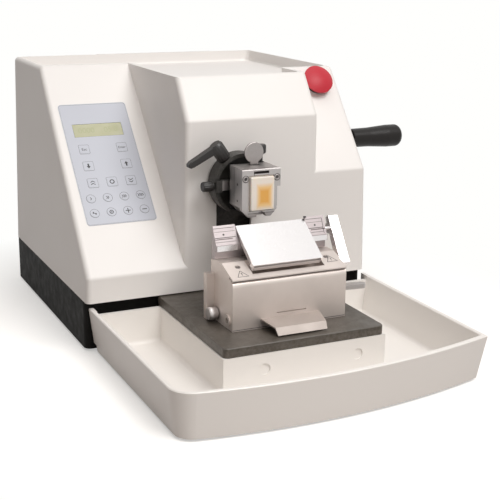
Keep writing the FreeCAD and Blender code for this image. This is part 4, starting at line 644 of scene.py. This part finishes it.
def clamp_details():
    """Painted shade in the rims and sockets of the clamp's screws and in two side holes, and the front
    plate's joint lines.
    """
    work = bmesh.new()
    for x in CLAMP_SCREWS:
        spot = upright(x, CLAMP_FRONT, CLAMP_SCREW_Z, 90)
        # Dark ring and hexagon: painted shade in the gap round each screw head and in its socket
        lathe(work, [(3.7, -0.5), (4.15, -0.5), (4.15, 0.12), (3.7, 0.12)], spot, 40)
        lathe(work, [(0.1, -0.9), (1.8, -0.9), (1.8, -0.25), (0.1, -0.25)], spot, 6)
    strip(work, -20.5, 24.5, -0.3, 0.3, 0.1, upright(0, PLATE_BACK, CLAMP_TOP))
    side = upright(CLAMP_LEFT, PLATE_BACK, 0, 0, -90)
    strip(work, CLAMP_LOW, CLAMP_TOP - 0.4, -0.3, 0.3, 0.1, side)
    strip(work, CLAMP_LOW, CLAMP_TOP - 0.4, 17.7, 18.1, 0.1, side)
    # Dark discs: painted shade in two side holes
    for z in (197, 178):
        spot = side @ Matrix.Translation((z, 9, 0))
        lathe(work, [(0.1, -0.2), (1.5, -0.2), (1.5, 0.12), (0.1, 0.12)], spot, 24)
    strip(work, -14.5, 18.5, -0.25, 0.25, 0.08, upright(0, CLAMP_FRONT, 165.2, 90))
    finish_mesh("clamp_joints_and_painted_shade", work, dark_finish_and_painted_shade, "swivel")
    work = bmesh.new()
    for x in CLAMP_SCREWS:
        spot = upright(x, CLAMP_FRONT, CLAMP_SCREW_Z, 90)
        rim = [(1.85, -0.6), (3.4, -0.6), (3.4, 0.15), (3.1, 0.45), (2.2, 0.45), (1.85, 0.1)]
        lathe(work, rim, spot, 40)
    finish_mesh("clamp_screw_rims", work, screw_steel, "swivel")


def fluted_sleeve(name, body, shade, spot, radius, low, high, flutes, depth):
    """A fluted ring between two heights about the matrix's Z, with a bevel at both ends."""
    work = bmesh.new()
    inner = radius - 1.2
    profile = [(inner, low), (radius - 0.5, low), (radius, low + 0.6), (radius, high - 0.6),
               (radius - 0.5, high), (inner, high)]
    lathe(work, profile, spot, flutes * 8, flutes, depth, (low + 0.1, high - 0.1))
    finish_mesh(name, work, shade, body, smooth=60)


def knob_flutes():
    """Fluted sleeves on the lever's hub and on the three small knobs."""
    fluted_sleeve("lever_flutes", "ratchet", knob_black, upright(-20.94, -19, 219.9, 0, -35),
                  8.5, 2.4, 19.6, 12, 0.48)
    fluted_sleeve("tilt_flutes", "tilt_knob", knob_black, upright(-38, -23, 190, 0, -90),
                  6.0, 0.8, 12.2, 16, 0.4)
    fluted_sleeve("swivel_flutes", "swivel_knob", knob_black, upright(24, -22, 190),
                  6.0, 35.2, 44.2, 16, 0.4)
    fluted_sleeve("angle_flutes", "angle_knob", steel, upright(-68, -106, 66.2, 0, -90),
                  7.3, 1.6, 10.0, 36, 0.25)


def wheel_details():
    """Cover with three screws on the handwheel's hub."""
    work = bmesh.new()
    hub = upright(223, 170, 150, 0, 90)
    cover = [(0.2, -1), (17, -1), (18.5, 0.4), (18.5, 2.2), (16.5, 3.4), (6, 3.4), (5, 2.6), (0.2, 2.6)]
    screw = [(0.1, 0), (2.2, 0), (2.2, 1.2), (1.9, 1.5), (1.0, 1.5), (0.95, 0.6), (0.1, 0.6)]
    lathe(work, cover, hub, 64)
    for i in range(3):
        angle = math.radians(90 + 120 * i)
        spot = hub @ Matrix.Translation((12 * math.cos(angle), 12 * math.sin(angle), 3.3))
        lathe(work, screw, spot, 24)
    finish_mesh("hub_cover", work, knob_black, "crank")


bar_details()
slope_details()
front_details()
clamp_details()
knob_flutes()
wheel_details()


# Camera and light

CAMERA_SPOT = (-0.51723, -1.13470, 0.45113)
CAMERA_YAW = 25.415
CAMERA_PITCH = 15.566
CAMERA_ROLL = 0.7265
SENSOR_MM = 36
LENS_MM = 76.997
BACKGROUND = (1, 1, 0.985, 1)
WORLD_LIGHT = 0.20
WORLD_COLOR = (1.0, 0.87, 0.81, 1)
FLOOR_HALF = 6
FLOOR_GAP = 0.0004
FLOOR_GLOW = 0.42
FLOOR_BOUNCE = (0.46, 0.43, 0.41, 1)
FADE_START = 0.30
FADE_END = 0.50


def aim_camera():
    """The photo's view, turned by yaw, pitch and roll in degrees."""
    yaw = math.radians(CAMERA_YAW)
    pitch = math.radians(CAMERA_PITCH)
    roll = math.radians(CAMERA_ROLL)
    ahead = Vector((math.sin(yaw) * math.cos(pitch), math.cos(yaw) * math.cos(pitch), -math.sin(pitch)))
    across = Vector((math.cos(yaw), -math.sin(yaw), 0))
    up = across.cross(ahead)
    right = across * math.cos(roll) + up * math.sin(roll)
    top = -across * math.sin(roll) + up * math.cos(roll)
    data = bpy.data.cameras.new("camera")
    data.sensor_width = SENSOR_MM
    data.lens = LENS_MM
    data.clip_start = 0.05
    data.clip_end = 50
    camera = bpy.data.objects.new("camera", data)
    bpy.context.scene.collection.objects.link(camera)
    turn = Matrix((right, top, -ahead)).transposed().to_4x4()
    camera.matrix_world = Matrix.Translation(CAMERA_SPOT) @ turn
    bpy.context.scene.camera = camera


def area_light(name, spot, target, size, power, color):
    """A rectangular light at a spot, aimed at a target."""
    data = bpy.data.lights.new(name, "AREA")
    data.shape = "RECTANGLE"
    data.size = size[0]
    data.size_y = size[1]
    data.energy = power
    data.color = color
    made = bpy.data.objects.new(name, data)
    bpy.context.scene.collection.objects.link(made)
    made.location = spot
    made.rotation_euler = (Vector(target) - Vector(spot)).to_track_quat("-Z", "Y").to_euler()


def seen_directly(tree):
    """1 for what the camera sees straight, in a reflection or through glass, and 0 otherwise."""
    path = tree.nodes.new("ShaderNodeLightPath")
    reach = path.outputs["Is Camera Ray"]
    for kind in ("Is Glossy Ray", "Is Transmission Ray"):
        joined = tree.nodes.new("ShaderNodeMath")
        joined.operation = "MAXIMUM"
        tree.links.new(reach, joined.inputs[0])
        tree.links.new(path.outputs[kind], joined.inputs[1])
        reach = joined.outputs[0]
    return reach


def mix_shaders(tree, factor, first, second):
    made = tree.nodes.new("ShaderNodeMixShader")
    tree.links.new(factor, made.inputs[0])
    tree.links.new(first, made.inputs[1])
    tree.links.new(second, made.inputs[2])
    return made.outputs[0]


def glow(tree, strength):
    """Light of the background's colour."""
    made = tree.nodes.new("ShaderNodeEmission")
    made.inputs["Color"].default_value = BACKGROUND
    made.inputs["Strength"].default_value = strength
    return made.outputs[0]


def set_world():
    """Warm dim light on the object, with a plain white background behind it."""
    world = bpy.data.worlds.new("world")
    bpy.context.scene.world = world
    world.use_nodes = True
    tree = world.node_tree
    back = tree.nodes["Background"]
    back.inputs["Color"].default_value = WORLD_COLOR
    back.inputs["Strength"].default_value = WORLD_LIGHT
    plain = tree.nodes.new("ShaderNodeBackground")
    plain.inputs["Color"].default_value = BACKGROUND
    plain.inputs["Strength"].default_value = 1.0
    shown = mix_shaders(tree, seen_directly(tree), back.outputs[0], plain.outputs[0])
    tree.links.new(shown, tree.nodes["World Output"].inputs["Surface"])


def lay_floor():
    """White floor that keeps the object's shadow and runs out into plain white further away."""
    work = bmesh.new()
    level = cad_bounds[0][2] - FLOOR_GAP
    corners = ((-1, -1), (1, -1), (1, 1), (-1, 1))
    work.faces.new([work.verts.new((x * FLOOR_HALF, y * FLOOR_HALF, level)) for x, y in corners])
    mesh = bpy.data.meshes.new("floor")
    work.to_mesh(mesh)
    work.free()
    floor = bpy.data.objects.new("floor", mesh)
    bpy.context.scene.collection.objects.link(floor)
    shade = Shade("floor", (0.80, 0.79, 0.775), 0.9, specular=0.0)
    shade.tint(shade.noise(0.6, 2), (0.79, 0.78, 0.765))
    tree = shade.tree
    lit = shade.shader.outputs[0]
    raised = tree.nodes.new("ShaderNodeAddShader")
    tree.links.new(lit, raised.inputs[0])
    tree.links.new(glow(tree, FLOOR_GLOW), raised.inputs[1])
    mapping = tree.nodes.new("ShaderNodeMapping")
    mapping.inputs["Location"].default_value = (0, -0.02, 0)
    mapping.inputs["Scale"].default_value = (1.1, 0.9, 0)
    tree.links.new(shade.coords.outputs["Object"], mapping.inputs["Vector"])
    length = tree.nodes.new("ShaderNodeVectorMath")
    length.operation = "LENGTH"
    tree.links.new(mapping.outputs["Vector"], length.inputs[0])
    far = shade.span(length.outputs["Value"], 0, 1, FADE_START, FADE_END)
    shown = mix_shaders(tree, far, raised.outputs[0], glow(tree, 1.0))
    bounce = tree.nodes.new("ShaderNodeBsdfDiffuse")
    bounce.inputs["Color"].default_value = FLOOR_BOUNCE
    whole = mix_shaders(tree, seen_directly(tree), bounce.outputs[0], shown)
    tree.links.new(whole, tree.nodes["Material Output"].inputs["Surface"])
    mesh.materials.append(shade.material)


aim_camera()
set_world()
lay_floor()
area_light("key", (0.55, -1.5, 2.3), (0, -0.05, 0.15), (1.6, 1.2), 44, (1, 0.99, 0.98))
area_light("top", (-0.1, 0.0, 2.3), (0, -0.02, 0.2), (1.8, 1.8), 14, (1, 0.99, 0.98))
area_light("fill", (-0.14, -0.8, 0.55), (0, -0.1, 0.15), (0.4, 0.4), 1.2, (1, 0.98, 0.95))
bpy.context.scene.view_settings.view_transform = "Standard"
